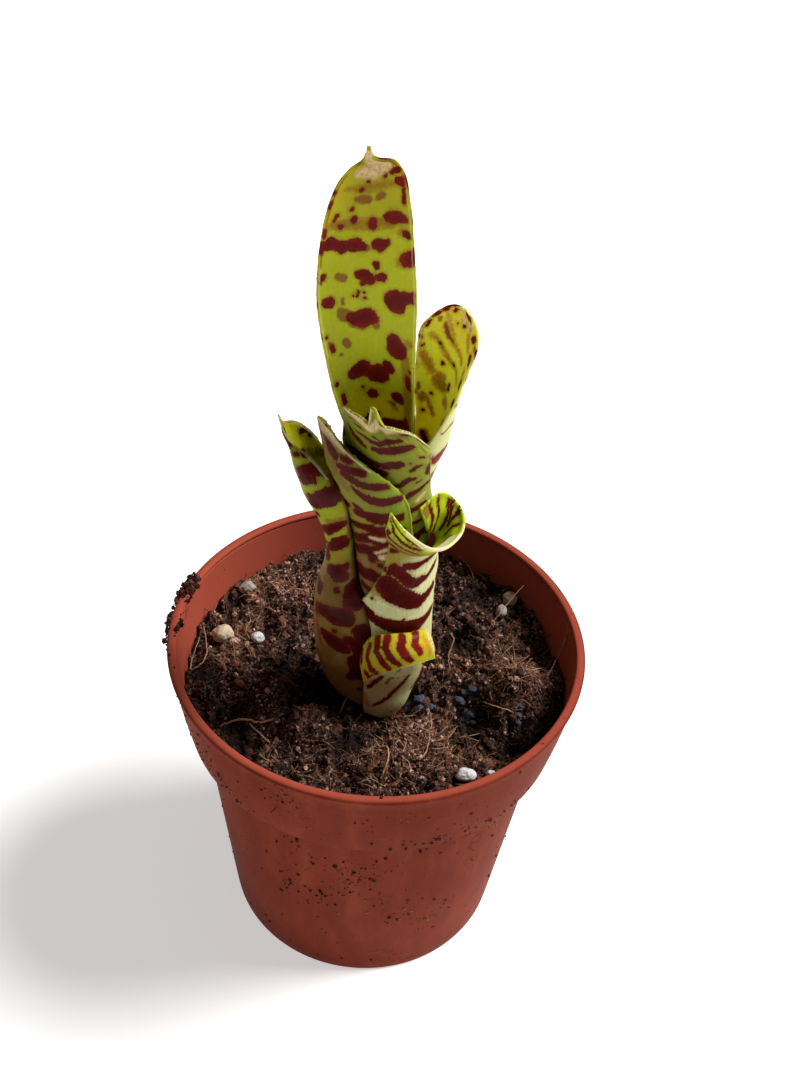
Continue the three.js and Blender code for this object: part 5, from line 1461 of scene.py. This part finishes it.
# Roots and loose fibres, listed one by one: x and y on the soil, how far above it, and the thickness.
ROOTS = {
    "root_orange": ([(-37, -22.5, 0.6), (-32, -21, 1.2), (-26.5, -21.4, 0.9), (-21.3, -20, 1)], 0.3),
    "root_left": ([(-29.5, -22.4, 0.2), (-28, -23.6, 1), (-25.9, -25.8, 0.9), (-22.6, -29, 0.8),
                   (-21.6, -30.6, 0)], 0.24),
    "root_loop": ([(-46.2, 8.6, 2.2), (-44.6, 3, 3.6), (-43.6, -2, 2.8), (-44.4, -6.2, 1.6), (-46.6, -7, 1.6),
                   (-47, -3.6, 2.6), (-46, 2.4, 4)], 0.2),
    "root_back": ([(-33.4, 26.6, 0.4), (-30.6, 24.4, 1.3), (-28.4, 22.4, 1.2), (-26.6, 20.8, 0.2)], 0.24),
    "root_right": ([(14.6, 48, 1), (18, 48.2, 2), (21.6, 47.6, 1.8), (25, 45, 1.2), (26.8, 43, 0)], 0.26),
    "root_wall": ([(17.6, 46.6, 0.4), (21, 44.4, 2), (24, 41, 1.6), (25.2, 37, 0.3)], 0.2),
    "hair_tall": ([(27.6, 12.6, 0.2), (30.4, 16.4, 4), (34, 21.6, 6.6), (38, 27, 8.4)], 0.11),
    "hair_rim": ([(42.6, -4.2, 0.4), (45.6, 1.6, 4.2), (48, 7.2, 8), (49.3, 12.4, 12.2), (49.6, 17.4, 13)],
                 0.11),
    "root_foot": ([(-8.4, -15, 0.3), (-7.4, -12.4, 2.2), (-6.4, -10, 3.2), (-5.8, -8.4, 2.6)], 0.22),
    "root_front": ([(2, -27, 0.3), (4.6, -29.4, 2.4), (5, -33, 2.2), (3.6, -36.6, 0.6)], 0.22),
    "root_front_pale": ([(13.6, -21.6, 0.6), (14.6, -25.6, 2.6), (13.8, -29.6, 2.6), (12.4, -33, 0.6)], 0.2),
    "root_lump": ([(27.6, -9.6, 0.4), (30.2, -12.6, 1.6), (33.6, -14.4, 1.8), (37, -14, 0.6)], 0.18),
    "root_deep": ([(19, 14, 0.4), (19.8, 9.4, 2), (18.6, 4.8, 1.8), (19.4, 0.6, 0.4)], 0.22),
}


def root_line(name, route, radius):
    """Points and faces of a root along the given points, laid on the soil at rest."""
    route = np.array(route)
    ground = soil_height(route[:, 0], route[:, 1])
    stops = np.column_stack((route[:, :2], ground + route[:, 2]))
    line = smooth_line(stops, np.linspace(0, 1, 8 * len(route)))
    shake = np.random.default_rng(len(name) * 7 + int(radius * 100)).normal(scale=0.07, size=line.shape)
    return tube(line + shake, radius, 6)


def root_finish(looks):
    finish = Finish("root_bark", **{"IOR": 1.4})
    place = finish.place()
    grain = finish.noise(place, 1.6, 4, 0.6)
    patches = finish.noise(place, 0.12, 2)
    colour = finish.mix((grain * 0.5 + patches * 0.7).ease(0.45, 0.75), looks.root[:], looks.pale_root[:])
    return finish.done(Base_Color=colour, Roughness=0.6 + 0.25 * grain, Normal=finish.bump(grain, 0.2, 0.7))


def joined_piece(name, parts, finish, smooth=True):
    """One mesh object from several (points, faces) parts."""
    points, faces, start = [], [], 0
    for part_points, part_faces in parts:
        points.append(part_points)
        faces.extend([[index + start for index in face] for face in part_faces])
        start += len(part_points)
    piece = new_piece(name, np.concatenate(points), faces, smooth)
    piece.data.materials.append(finish)
    return piece


# Grains of perlite

GRAINS = {
    "perlite_1": ("cream", 11), "perlite_2": ("white", 18), "perlite_3": ("grey", 25),
    "perlite_4": ("cream", 32),
    "perlite_5": ("grey", 39), "perlite_6": ("white", 46), "perlite_7": ("white", 53),
}


def grain_piece(node, seed, finish):
    """A knobbly grain in the box of its node."""
    low, high = (np.array(corner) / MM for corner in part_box(node))
    work = bmesh.new()
    bmesh.ops.create_icosphere(work, subdivisions=5, radius=1)
    points = np.array([vertex.co for vertex in work.verts])
    faces = [[vertex.index for vertex in face.verts] for face in work.faces]
    work.free()
    random = np.random.default_rng(seed)
    lobes = random.normal(size=(34, 3))
    lobes /= np.linalg.norm(lobes, axis=1, keepdims=True)
    depth = random.uniform(-0.16, 0.16, 34)
    sharp = random.uniform(4, 40, 34)
    swell = 1 + (np.maximum(0, points @ lobes.T) ** sharp * depth).sum(axis=1)
    points = points * swell[:, None]
    points /= np.abs(points).max(axis=0)
    piece = new_piece(node + "_grain", (low + high) / 2 + points * (high - low) / 2, faces)
    piece.data.materials.append(finish)
    return piece


def grain_finish(name, light, stain):
    finish = Finish(name, **{"IOR": 1.45, "Subsurface Weight": 0.2, "Subsurface Scale": 0.8 * MM})
    place = finish.place()
    grain = finish.noise(place, 1.5, 4, 0.65)
    stains = finish.noise(place, 0.55, 3, 0.6)
    pits = finish.cells(place, 1.2)
    colour = finish.mix(grain.ease(0.3, 0.7), tuple(0.72 * part for part in light), light)
    colour = finish.mix(stains.ease(0.54, 0.66) * 0.75, colour, stain)
    colour = finish.mix(pits.ease(0.16, 0.06) * 0.8, colour, tuple(0.4 * part for part in stain))
    relief = grain * 0.6 + pits * 0.5
    return finish.done(Base_Color=colour, Roughness=0.7 + 0.2 * grain, Normal=finish.bump(relief, 0.35, 0.8))


# Stem

def stem_piece(name, finish):
    """The short stem with its leaf scars, from its cut end to the growing point."""
    sides, turns = 48, []
    heights = np.linspace(STEM_BOTTOM, STEM_TOP, 120)
    for z in heights:
        radius = np.interp(z, (STEM_BOTTOM, STEM_BOTTOM + 1.5, 92, 104, 111, STEM_TOP - 1, STEM_TOP),
                           (STEM_RADIUS - 0.8, STEM_RADIUS - 0.05, STEM_RADIUS - 0.05, 3.6, 2.9, 1.6, 0.4))
        scar = 0.18 * max(0, math.cos(z * 2 * math.pi / 4.2)) ** 6
        angle = np.arange(sides) * 2 * math.pi / sides
        across = (radius - scar) * (1 + 0.015 * np.sin(3 * angle + z))
        centre = plant_axis(z)
        turns.append(np.stack((centre[0] + across * np.cos(angle), centre[1] + across * np.sin(angle),
                               np.full(sides, z)), axis=-1))
    piece = new_piece(name, np.concatenate(turns), ring_faces(len(turns), sides))
    piece.data.materials.append(finish)
    return piece


def stem_finish(looks):
    finish = Finish("stem_tissue", **{"IOR": 1.45, "Subsurface Weight": 0.1, "Subsurface Scale": 1 * MM})
    streak = finish.noise(finish.place((1, 1, 0.2)), 1.1, 4, 0.6)
    mottle = finish.noise(finish.place(), 0.5, 3)
    colour = finish.mix((streak * 0.7 + mottle * 0.5).ease(0.4, 0.75), looks.stem[:], looks.root[:])
    return finish.done(Base_Color=colour, Roughness=0.5 + 0.2 * mottle, Normal=finish.bump(streak, 0.2, 0.6))


# Settings that a user would change

def colour_setting(name, description, default):
    return bpy.props.FloatVectorProperty(
        name=name, description=description, default=default, subtype="COLOR", size=3, min=0, max=1)


class PotSettings(bpy.types.PropertyGroup):
    """Sizes and colours of the nursery pot."""

    sides: bpy.props.IntProperty(name="Sides", description="Facets round the pot", default=256, min=32)
    holes: bpy.props.IntProperty(name="Drain holes", description="Holes in the pot's floor", default=8, min=3)
    hole_ring: bpy.props.FloatProperty(
        name="Hole ring", description="Distance of the drain holes from the middle", default=25 * MM,
        unit="LENGTH")
    hole_radius: bpy.props.FloatProperty(
        name="Hole radius", description="Radius of a drain hole", default=3.2 * MM, unit="LENGTH")
    plastic: colour_setting("Plastic", "Terracotta-coloured plastic", (0.155, 0.020, 0.008))
    plastic_faded: colour_setting("Faded plastic", "Plastic where it is scuffed and dry",
                                  (0.205, 0.032, 0.014))
    # Painted light: this paler plastic is the lit copy of the pot's plastic, used where it faces inwards.
    inner: colour_setting("Inner plastic", "Paler plastic of the inner wall and lip", (0.40, 0.078, 0.048))
    dust: colour_setting("Dust", "Pale dust on the plastic", (0.36, 0.105, 0.06))
    dirt: colour_setting("Dirt", "Soil that stuck to the plastic", (0.05, 0.012, 0.006))


class SoilSettings(bpy.types.PropertyGroup):
    """Sizes and colours of the soil and what lies on it."""

    rings: bpy.props.IntProperty(name="Rings", description="Rings of the soil's surface", default=130, min=20)
    spokes: bpy.props.IntProperty(name="Spokes", description="Spokes of the soil's surface", default=360,
                                  min=32)
    fine_crumb: bpy.props.FloatProperty(
        name="Fine crumb", description="Radius of a large fine crumb", default=0.85 * MM, unit="LENGTH")
    coarse_crumb: bpy.props.FloatProperty(
        name="Coarse crumb", description="Radius of a large coarse crumb", default=1.7 * MM, unit="LENGTH")
    fibre: bpy.props.FloatProperty(
        name="Fibre", description="Half length of a long fibre", default=3.6 * MM, unit="LENGTH")
    peat: colour_setting("Peat", "Wet dark peat", (0.007, 0.0032, 0.0028))
    crumb: colour_setting("Crumb", "Brown crumbs", (0.078, 0.033, 0.023))
    coir: colour_setting("Coir", "Reddish coir", (0.27, 0.104, 0.062))
    pale_crumb: colour_setting("Pale crumb", "Dry crumbs that catch the light", (0.62, 0.40, 0.31))
    clod: colour_setting("Clod", "Blue-grey clods", (0.074, 0.086, 0.124))
    root: colour_setting("Root", "Roots", (0.26, 0.115, 0.05))
    pale_root: colour_setting("Pale root", "Thin dry roots", (0.50, 0.31, 0.20))
    stem: colour_setting("Stem", "Stem tissue", (0.55, 0.52, 0.28))


class LeafSettings(bpy.types.PropertyGroup):
    """Colours that all leaves share."""

    margin: colour_setting("Margin", "Cream line along the margins", (0.82, 0.74, 0.46))
    blush: colour_setting("Blush", "Thin red pigment", (0.22, 0.022, 0.022))
    husk: colour_setting("Husk", "Dry tips", (0.84, 0.62, 0.32))


class StageSettings(bpy.types.PropertyGroup):
    """The floor and the lights."""

    floor_size: bpy.props.FloatProperty(name="Floor", description="Width of the floor", default=6,
                                        unit="LENGTH")
    floor_tint: colour_setting("Floor tint", "Pale floor", (0.93, 0.93, 0.925))
    floor_glow: bpy.props.FloatProperty(
        name="Floor glow", description="Light of the floor itself, as of a light table", default=0.5, min=0)
    key: bpy.props.FloatProperty(name="Key light", description="Strength of the soft light at the right",
                                 default=4.1, min=0)
    backdrop: bpy.props.FloatProperty(
        name="Backdrop", description="Brightness of the backdrop where the camera sees it", default=1, min=0)
    sky: bpy.props.FloatProperty(name="Sky", description="Brightness all round", default=0.1, min=0)


# Operators, one for each piece or group of like pieces

# The camera's place, its dip below the horizon and its roll, as the photograph was taken.
CAMERA_PLACE = Vector((4.91, -215.75, 308.01))
CAMERA_DIP = math.radians(40.2)
CAMERA_ROLL = math.radians(4.55)
LENS_MM = 40
SENSOR_MM = 36
# Where the soft key light comes from, the right, high and a little from behind, and how wide it is.
KEY_DIRECTION = (0.62, 0.15, 0.77)
KEY_ANGLE = math.radians(26)


class PLANT_OT_camera_and_stage(bpy.types.Operator):
    """Sets the camera at the photograph's angle, with a pale floor and soft light"""

    bl_idname = "plant.camera_and_stage"
    bl_label = "Stage"

    def execute(self, context):
        stage = context.scene.plant_stage
        camera = bpy.data.cameras.new("camera")
        camera.lens, camera.sensor_width = LENS_MM, SENSOR_MM
        camera.clip_start, camera.clip_end = 0.01, 20
        holder = bpy.data.objects.new("camera", camera)
        context.scene.collection.objects.link(holder)
        dip, roll = CAMERA_DIP, CAMERA_ROLL
        forward = Vector((0, math.cos(dip), -math.sin(dip)))
        level = Vector((1, 0, 0))
        raised = Vector((0, math.sin(dip), math.cos(dip)))
        right = math.cos(roll) * level + math.sin(roll) * raised
        up = math.cos(roll) * raised - math.sin(roll) * level
        turn = Matrix((right, up, -forward)).transposed().to_4x4()
        holder.matrix_world = Matrix.Translation(CAMERA_PLACE * MM) @ turn
        context.scene.camera = holder

        half = stage.floor_size / 2
        floor = new_piece("floor", np.array([(-half, -half, 0), (half, -half, 0), (half, half, 0),
                                             (-half, half, 0)]) / MM,
                          [(0, 1, 2, 3)], smooth=False)
        finish = Finish("floor_paper", **{"Emission Strength": stage.floor_glow})
        grain = finish.noise(finish.place(), 0.02, 3)
        tint = finish.mix(grain * 0.04, stage.floor_tint[:], (0.88, 0.88, 0.88))
        floor.data.materials.append(finish.done(Base_Color=tint, Roughness=0.9 + 0.05 * grain))

        light = bpy.data.lights.new("key_light", "SUN")
        light.energy, light.angle, light.color = stage.key, KEY_ANGLE, (1, 0.985, 0.955)
        lamp = bpy.data.objects.new("key_light", light)
        lamp.rotation_euler = Vector(KEY_DIRECTION).to_track_quat("Z", "Y").to_euler()
        context.scene.collection.objects.link(lamp)
        world = bpy.data.worlds.new("studio")
        world.use_nodes = True
        tree = world.node_tree
        backdrop = tree.nodes["Background"]
        backdrop.inputs[0].default_value = (1, 0.99, 0.98, 1)
        seen = add_node(tree, "ShaderNodeLightPath").outputs["Is Camera Ray"]
        strength = add_node(tree, "ShaderNodeMath", {"operation": "MULTIPLY_ADD"},
                            {0: seen, 1: stage.backdrop - stage.sky, 2: stage.sky})
        tree.links.new(strength.outputs[0], backdrop.inputs[1])
        context.scene.world = world
        context.scene.view_settings.view_transform = "Standard"
        return {"FINISHED"}


class PLANT_OT_pot(bpy.types.Operator):
    """Turns the pot from its profile and drills its drain holes"""

    bl_idname = "plant.pot"
    bl_label = "Pot"

    def execute(self, context):
        settings = context.scene.plant_pot
        profile = [(radius, -height, 0) for radius, height in pot_profile()]
        mesh = bpy.data.meshes.new("pot_profile")
        mesh.from_pydata((np.array(profile) * MM).tolist(), [(i, i + 1) for i in range(len(profile) - 1)], [])
        carrier = bpy.data.objects.new("pot_profile", mesh)
        context.scene.collection.objects.link(carrier)
        pot = grown(carrier, pot_tree(), "pot_shell", Sides=settings.sides, Holes=settings.holes,
                    Hole_ring=settings.hole_ring, Hole_radius=settings.hole_radius,
                    Plastic=pot_finish(settings))
        drop(carrier)
        merge_points(pot.data, 0.005)
        work = bmesh.new()
        work.from_mesh(pot.data)
        bmesh.ops.recalc_face_normals(work, faces=work.faces)
        work.to_mesh(pot.data)
        work.free()
        pot.data.shade_smooth()
        pot.data.set_sharp_from_angle(angle=math.radians(40))
        points = np.array([vertex.co for vertex in pot.data.vertices])
        normals = np.array([vertex.normal for vertex in pot.data.vertices])
        radius = np.maximum(np.hypot(points[:, 0], points[:, 1]), MM)
        outward = (normals[:, :2] * points[:, :2]).sum(axis=1) / radius
        # How far each point faces inwards, where the plastic is painted paler as lit.
        store(pot.data, "inward", ease(-outward, -0.75, 0.1))
        finish_piece(pot, "pot", "pot")
        return {"FINISHED"}


class PLANT_OT_soil(bpy.types.Operator):
    """Fills the pot with soil up to its uneven surface"""

    bl_idname = "plant.soil"
    bl_label = "Soil"

    def execute(self, context):
        settings = context.scene.plant_soil
        soil = soil_piece("soil_body", settings.rings, settings.spokes, soil_finish(settings))
        finish_piece(soil, "soil", "soil")
        return {"FINISHED"}


def turned_carrier(name, line, first, last, steps):
    """A strip of surface turned round the pot's axis between two bearings, for soil to stick to."""
    turn = np.radians(np.linspace(first, last, steps + 1))
    radius, height = np.array(line, float).T
    points = np.stack((radius * np.cos(turn)[:, None], radius * np.sin(turn)[:, None],
                       np.broadcast_to(height, (steps + 1, len(line)))), axis=-1)
    ring, place = np.meshgrid(np.arange(steps), np.arange(len(line) - 1), indexing="ij")
    here = ring * len(line) + place
    faces = np.stack((here, here + len(line), here + len(line) + 1, here + 1),
                     axis=-1).reshape(-1, 4).tolist()
    return new_piece(name, points.reshape(-1, 3), faces)


def rim_carrier():
    """The lip and the top of the wall where soil hangs over the rim at the left."""
    line = [(RIM_RADIUS - 2.5, POT_HEIGHT - 1.5), (RIM_RADIUS - 2.2, POT_HEIGHT + 0.5),
            (RIM_RADIUS, POT_HEIGHT + 0.8),
            (RIM_RADIUS + 0.7, POT_HEIGHT - 0.8), (COLLAR_TOP_RADIUS + 0.8, POT_HEIGHT - 3.5)]
    carrier = turned_carrier("rim_carrier", line, 160, 192, 40)
    x, y, z = np.array([vertex.co for vertex in carrier.data.vertices]).T / MM
    bearing = np.degrees(np.arctan2(y, x)) % 360
    clump = np.exp(-((bearing - 167) / 4) ** 2) + 0.6 * np.exp(-((bearing - 181) / 6) ** 2) * (z < POT_HEIGHT)
    store(carrier.data, "litter", clump)
    store(carrier.data, "shade_and_damp", 0.2 * np.ones_like(x))
    store(carrier.data, "dry", 0.1 * np.ones_like(x))
    return carrier


# Where soil stuck to the pot's wall in drifts: bearing, height and reach.
WALL_DRIFTS = ((-107, 58, 4), (-91, 50, 6), (-84, 57, 4), (-84, 85, 4), (-67, 73.5, 6), (-72, 31, 4),
               (-58, 26, 3.5),
               (-65, 27, 4), (-59, 81, 3), (-116, 39, 3), (-103, 39, 3), (-48, 72, 4), (-130, 76, 5),
               (-138, 79, 6),
               (-110, 87, 4), (-95, 56, 4), (-150, 84, 7), (-170, 88, 8), (-50, 50, 3), (-95, 5, 4))


def wall_carrier():
    """The pot's outer wall and lip, with soil specks in drifts."""
    line = [(BASE_RADIUS + 0.05, 3), (BODY_TOP_RADIUS, COLLAR_BASE - 2),
            (COLLAR_BOTTOM_RADIUS + 0.1, COLLAR_BASE + 1),
            (COLLAR_TOP_RADIUS, POT_HEIGHT - 2), (RIM_RADIUS - 0.4, POT_HEIGHT - 0.05),
            (RIM_RADIUS - 1.9, POT_HEIGHT - 0.05)]
    fine = [(radius, height) for radius, height in smooth_stops(line, 9)]
    carrier = turned_carrier("wall_carrier", fine, 0, 360, 120)
    x, y, z = np.array([vertex.co for vertex in carrier.data.vertices]).T / MM
    round_pot = np.arctan2(y, x) * 45
    drift = ripple(round_pot + 200, z, 9, 91) + 0.6 * ripple(round_pot + 200, z, 3.5, 92)
    left = ease(-x, -20, 45)
    upper = ease(z, 60, 90)
    amount = ease(drift, 0.1, 1) * (0.06 + 0.1 * left + 0.08 * upper) + 0.016
    for bearing, height, reach in WALL_DRIFTS:
        far = np.hypot(round_pot - math.radians(bearing) * 45, 1.6 * (z - height)) / reach
        amount = amount + np.exp(-far ** 2)
    store(carrier.data, "litter", amount)
    store(carrier.data, "shade_and_damp", np.zeros_like(x))
    store(carrier.data, "dry", np.zeros_like(x))
    return carrier


def smooth_stops(line, steps):
    """Points along a broken line, with the given number of steps to each stretch."""
    line = np.array(line, float)
    places = np.linspace(0, len(line) - 1, steps * (len(line) - 1) + 1)
    return np.stack([np.interp(places, np.arange(len(line)), column) for column in line.T], axis=-1)


class PLANT_OT_litter(bpy.types.Operator):
    """Strews crumbs and fibres over the soil"""

    bl_idname = "plant.litter"
    bl_label = "Crumbs and fibres"

    def execute(self, context):
        settings = context.scene.plant_soil
        rings, spokes = 60, 180
        top = soil_top(rings, spokes)
        faces = [face[::-1] for face in ring_faces(rings + 1, spokes, False)]
        carrier = new_piece("litter_carrier", top.reshape(-1, 3), faces)
        x, y = top[..., 0].ravel(), top[..., 1].ravel()
        clear = ease(np.hypot(x - SEAT_CENTRE[0], y - SEAT_CENTRE[1]), SEAT_BRIM_RADIUS, SEAT_BRIM_RADIUS + 1)
        for node in GRAINS:
            low, high = (np.array(corner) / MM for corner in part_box(node))
            middle, reach = (low + high) / 2, max(high[:2] - low[:2]) / 2
            clear *= ease(np.hypot(x - middle[0], y - middle[1]), reach * 0.8, reach * 0.8 + 1)
        patchy = 0.55 + 0.45 * ripple(x, y, 7, 71)
        store(carrier.data, "litter", clear * patchy)
        # Painted shade in hollows and painted shadow patches, with damp, for the crumbs.
        store(carrier.data, "shade_and_damp", painted_shade_and_damp(x, y, top[..., 2].ravel()))
        store(carrier.data, "dry", nearness(x, y, DRY_PLACES))
        tufts = carrier.copy()
        tufts.data = carrier.data.copy()
        context.scene.collection.objects.link(tufts)
        tufts.data.attributes.remove(tufts.data.attributes["litter"])
        store(tufts.data, "litter", clear * (0.2 * patchy + nearness(x, y, COIR_PLACES)))
        crumbs = scatter_tree("strewn_crumbs", lying=False)
        fibres = scatter_tree("strewn_fibres", lying=True)
        peat, crumb, coir = settings.peat[:], settings.crumb[:], settings.coir[:]
        pale, root = settings.pale_crumb[:], settings.root[:]
        dark = crumb_finish("crumb_dark", peat, peat, crumb, coir)
        light = crumb_finish("crumb_brown", peat, crumb, coir, pale)
        thread = crumb_finish("fibre_coir", peat, tuple(0.6 * part for part in coir), root,
                              settings.pale_root[:])
        stuck = crumb_finish("crumb_stuck", peat, (0.03, 0.009, 0.005), (0.075, 0.022, 0.011),
                             (0.2, 0.075, 0.045))
        speck = crumb_finish("speck_brown", peat, (0.05, 0.014, 0.008), (0.09, 0.026, 0.013),
                             (0.28, 0.12, 0.08))
        clod = settings.clod[:]
        blue = crumb_finish("clod_blue", peat, clod, clod, tuple(1.8 * part for part in clod))
        grit = shape_set("grit", crumb_shapes(8, 0, 4))
        small = shape_set("small_crumbs", crumb_shapes(6, 1, 5))
        large = shape_set("large_crumbs", crumb_shapes(6, 2, 6))
        thin = shape_set("thin_fibres", fibre_shapes(8, 7))
        fine, coarse, long = settings.fine_crumb, settings.coarse_crumb, settings.fibre
        plan = (
            ("crumbs_fine_dark", carrier, crumbs, small, dark, 40, 0.35 * fine, fine, 1.6, 1),
            ("crumbs_fine_brown", carrier, crumbs, grit, light, 90, 0.22 * fine, 0.72 * fine, 1.6, 2),
            ("crumbs_coarse", carrier, crumbs, large, dark, 6, 0.3 * coarse, coarse, 2.2, 3),
            ("crumbs_coarse_brown", carrier, crumbs, small, light, 12, 0.3 * coarse, 0.7 * coarse, 2, 4),
            ("coir_fibres", tufts, fibres, thin, thread, 135, 0.25 * long, long, 1.8, 5),
        )
        for name, ground, tree, shapes, finish, density, least, most, skew, seed in plan:
            piece = grown(ground, tree, name, Per_square_centimetre=float(density), Smallest=least,
                          Largest=most,
                          Skew=skew, Seed=seed, Shapes=shapes, Finish=finish)
            finish_piece(piece, "soil")

        # Blue-grey clods in the hollows at the front right.
        clods = []
        random = np.random.default_rng(33)
        for cx, cy, count in CLOD_PLACES:
            for index in range(count):
                shape = small.objects[(index + count) % len(small.objects)].data
                size = random.uniform(0.8, 1.6)
                corners = np.array([vertex.co for vertex in shape.vertices]) * size * (1.1, 1, 0.8)
                x, y = np.array((cx, cy)) + random.normal(scale=1.1, size=2)
                height = crumbled_height(np.array([x]), np.array([y]))[0]
                clods.append((corners + (x, y, height + 0.35),
                              [list(face.vertices) for face in shape.polygons]))
        finish_piece(joined_piece("clods_blue", clods, blue, smooth=False), "soil")

        # Soil that sticks to the rim at the left, and specks on the pot's wall and lip.
        rim = rim_carrier()
        wall = wall_carrier()
        for name, ground, shapes, finish, density, least, most in (
                ("rim_soil", rim, small, stuck, 300, 0.3 * fine, 1.25 * fine),
                ("wall_specks", wall, grit, speck, 95, 0.12 * fine, 0.68 * fine)):
            piece = grown(ground, crumbs, name, Per_square_centimetre=float(density), Smallest=least,
                          Largest=most,
                          Skew=2.2, Seed=8, Shapes=shapes, Finish=finish)
            finish_piece(piece, "soil")
        drop(rim, wall, tufts, carrier)
        for collection in (grit, small, large, thin):
            drop(*collection.objects)
            bpy.data.collections.remove(collection)
        return {"FINISHED"}


class PLANT_OT_roots(bpy.types.Operator):
    """Lays the larger roots and hairs on the soil"""

    bl_idname = "plant.roots"
    bl_label = "Roots"

    def execute(self, context):
        finish = root_finish(context.scene.plant_soil)
        parts = [root_line(name, route, radius) for name, (route, radius) in ROOTS.items()]
        finish_piece(joined_piece("roots_loose", parts, finish), "soil")
        return {"FINISHED"}


class PLANT_OT_grains(bpy.types.Operator):
    """Makes the perlite grains"""

    bl_idname = "plant.grains"
    bl_label = "Perlite grains"

    def execute(self, context):
        finishes = {
            "cream": grain_finish("perlite_cream", (0.74, 0.60, 0.42), (0.30, 0.17, 0.09)),
            "white": grain_finish("perlite_white", (0.80, 0.79, 0.78), (0.36, 0.28, 0.22)),
            "grey": grain_finish("perlite_grey", (0.42, 0.38, 0.33), (0.17, 0.11, 0.08)),
        }
        for node, (tint, seed) in GRAINS.items():
            finish_piece(grain_piece(node, seed, finishes[tint]), "perlite", node)
        return {"FINISHED"}


class PLANT_OT_stem(bpy.types.Operator):
    """Makes the short stem inside the leaves"""

    bl_idname = "plant.stem"
    bl_label = "Stem"

    def execute(self, context):
        finish_piece(stem_piece("stem_core", stem_finish(context.scene.plant_soil)), "stem", "stem")
        return {"FINISHED"}


class PLANT_OT_leaves(bpy.types.Operator):
    """Makes the seven leaves with their markings"""

    bl_idname = "plant.leaves"
    bl_label = "Leaves"

    def execute(self, context):
        looks = context.scene.plant_leaves
        for node, own in LEAVES.items():
            leaf = LEAF_DEFAULTS | own
            finish = leaf_finish(node.replace("leaf", "tissue"), leaf, looks)
            finish_piece(leaf_piece(node, leaf, finish), "leaf", node)
        return {"FINISHED"}


STEPS = (PLANT_OT_camera_and_stage, PLANT_OT_pot, PLANT_OT_soil, PLANT_OT_litter, PLANT_OT_roots,
         PLANT_OT_grains,
         PLANT_OT_stem, PLANT_OT_leaves)


class PLANT_PT_panel(bpy.types.Panel):
    """Lists the settings and the steps"""

    bl_idname = "PLANT_PT_panel"
    bl_label = "Bromeliad"
    bl_space_type = "VIEW_3D"
    bl_region_type = "UI"
    bl_category = "Bromeliad"

    def draw(self, context):
        for step in STEPS:
            self.layout.operator(step.bl_idname)
        for group in (context.scene.plant_pot, context.scene.plant_soil, context.scene.plant_leaves,
                      context.scene.plant_stage):
            box = self.layout.box()
            for setting in group.__annotations__:
                box.prop(group, setting)


GROUPS = {"plant_pot": PotSettings, "plant_soil": SoilSettings, "plant_leaves": LeafSettings,
          "plant_stage": StageSettings}
CLASSES = (*GROUPS.values(), *STEPS, PLANT_PT_panel)


def register():
    for one in CLASSES:
        bpy.utils.register_class(one)
    for name, group in GROUPS.items():
        setattr(bpy.types.Scene, name, bpy.props.PointerProperty(type=group))


def unregister():
    for name in GROUPS:
        delattr(bpy.types.Scene, name)
    for one in reversed(CLASSES):
        bpy.utils.unregister_class(one)


def main():
    register()
    for step in STEPS:
        category, name = step.bl_idname.split(".")
        getattr(getattr(bpy.ops, category), name)()


if __name__ == "__main__":
    main()
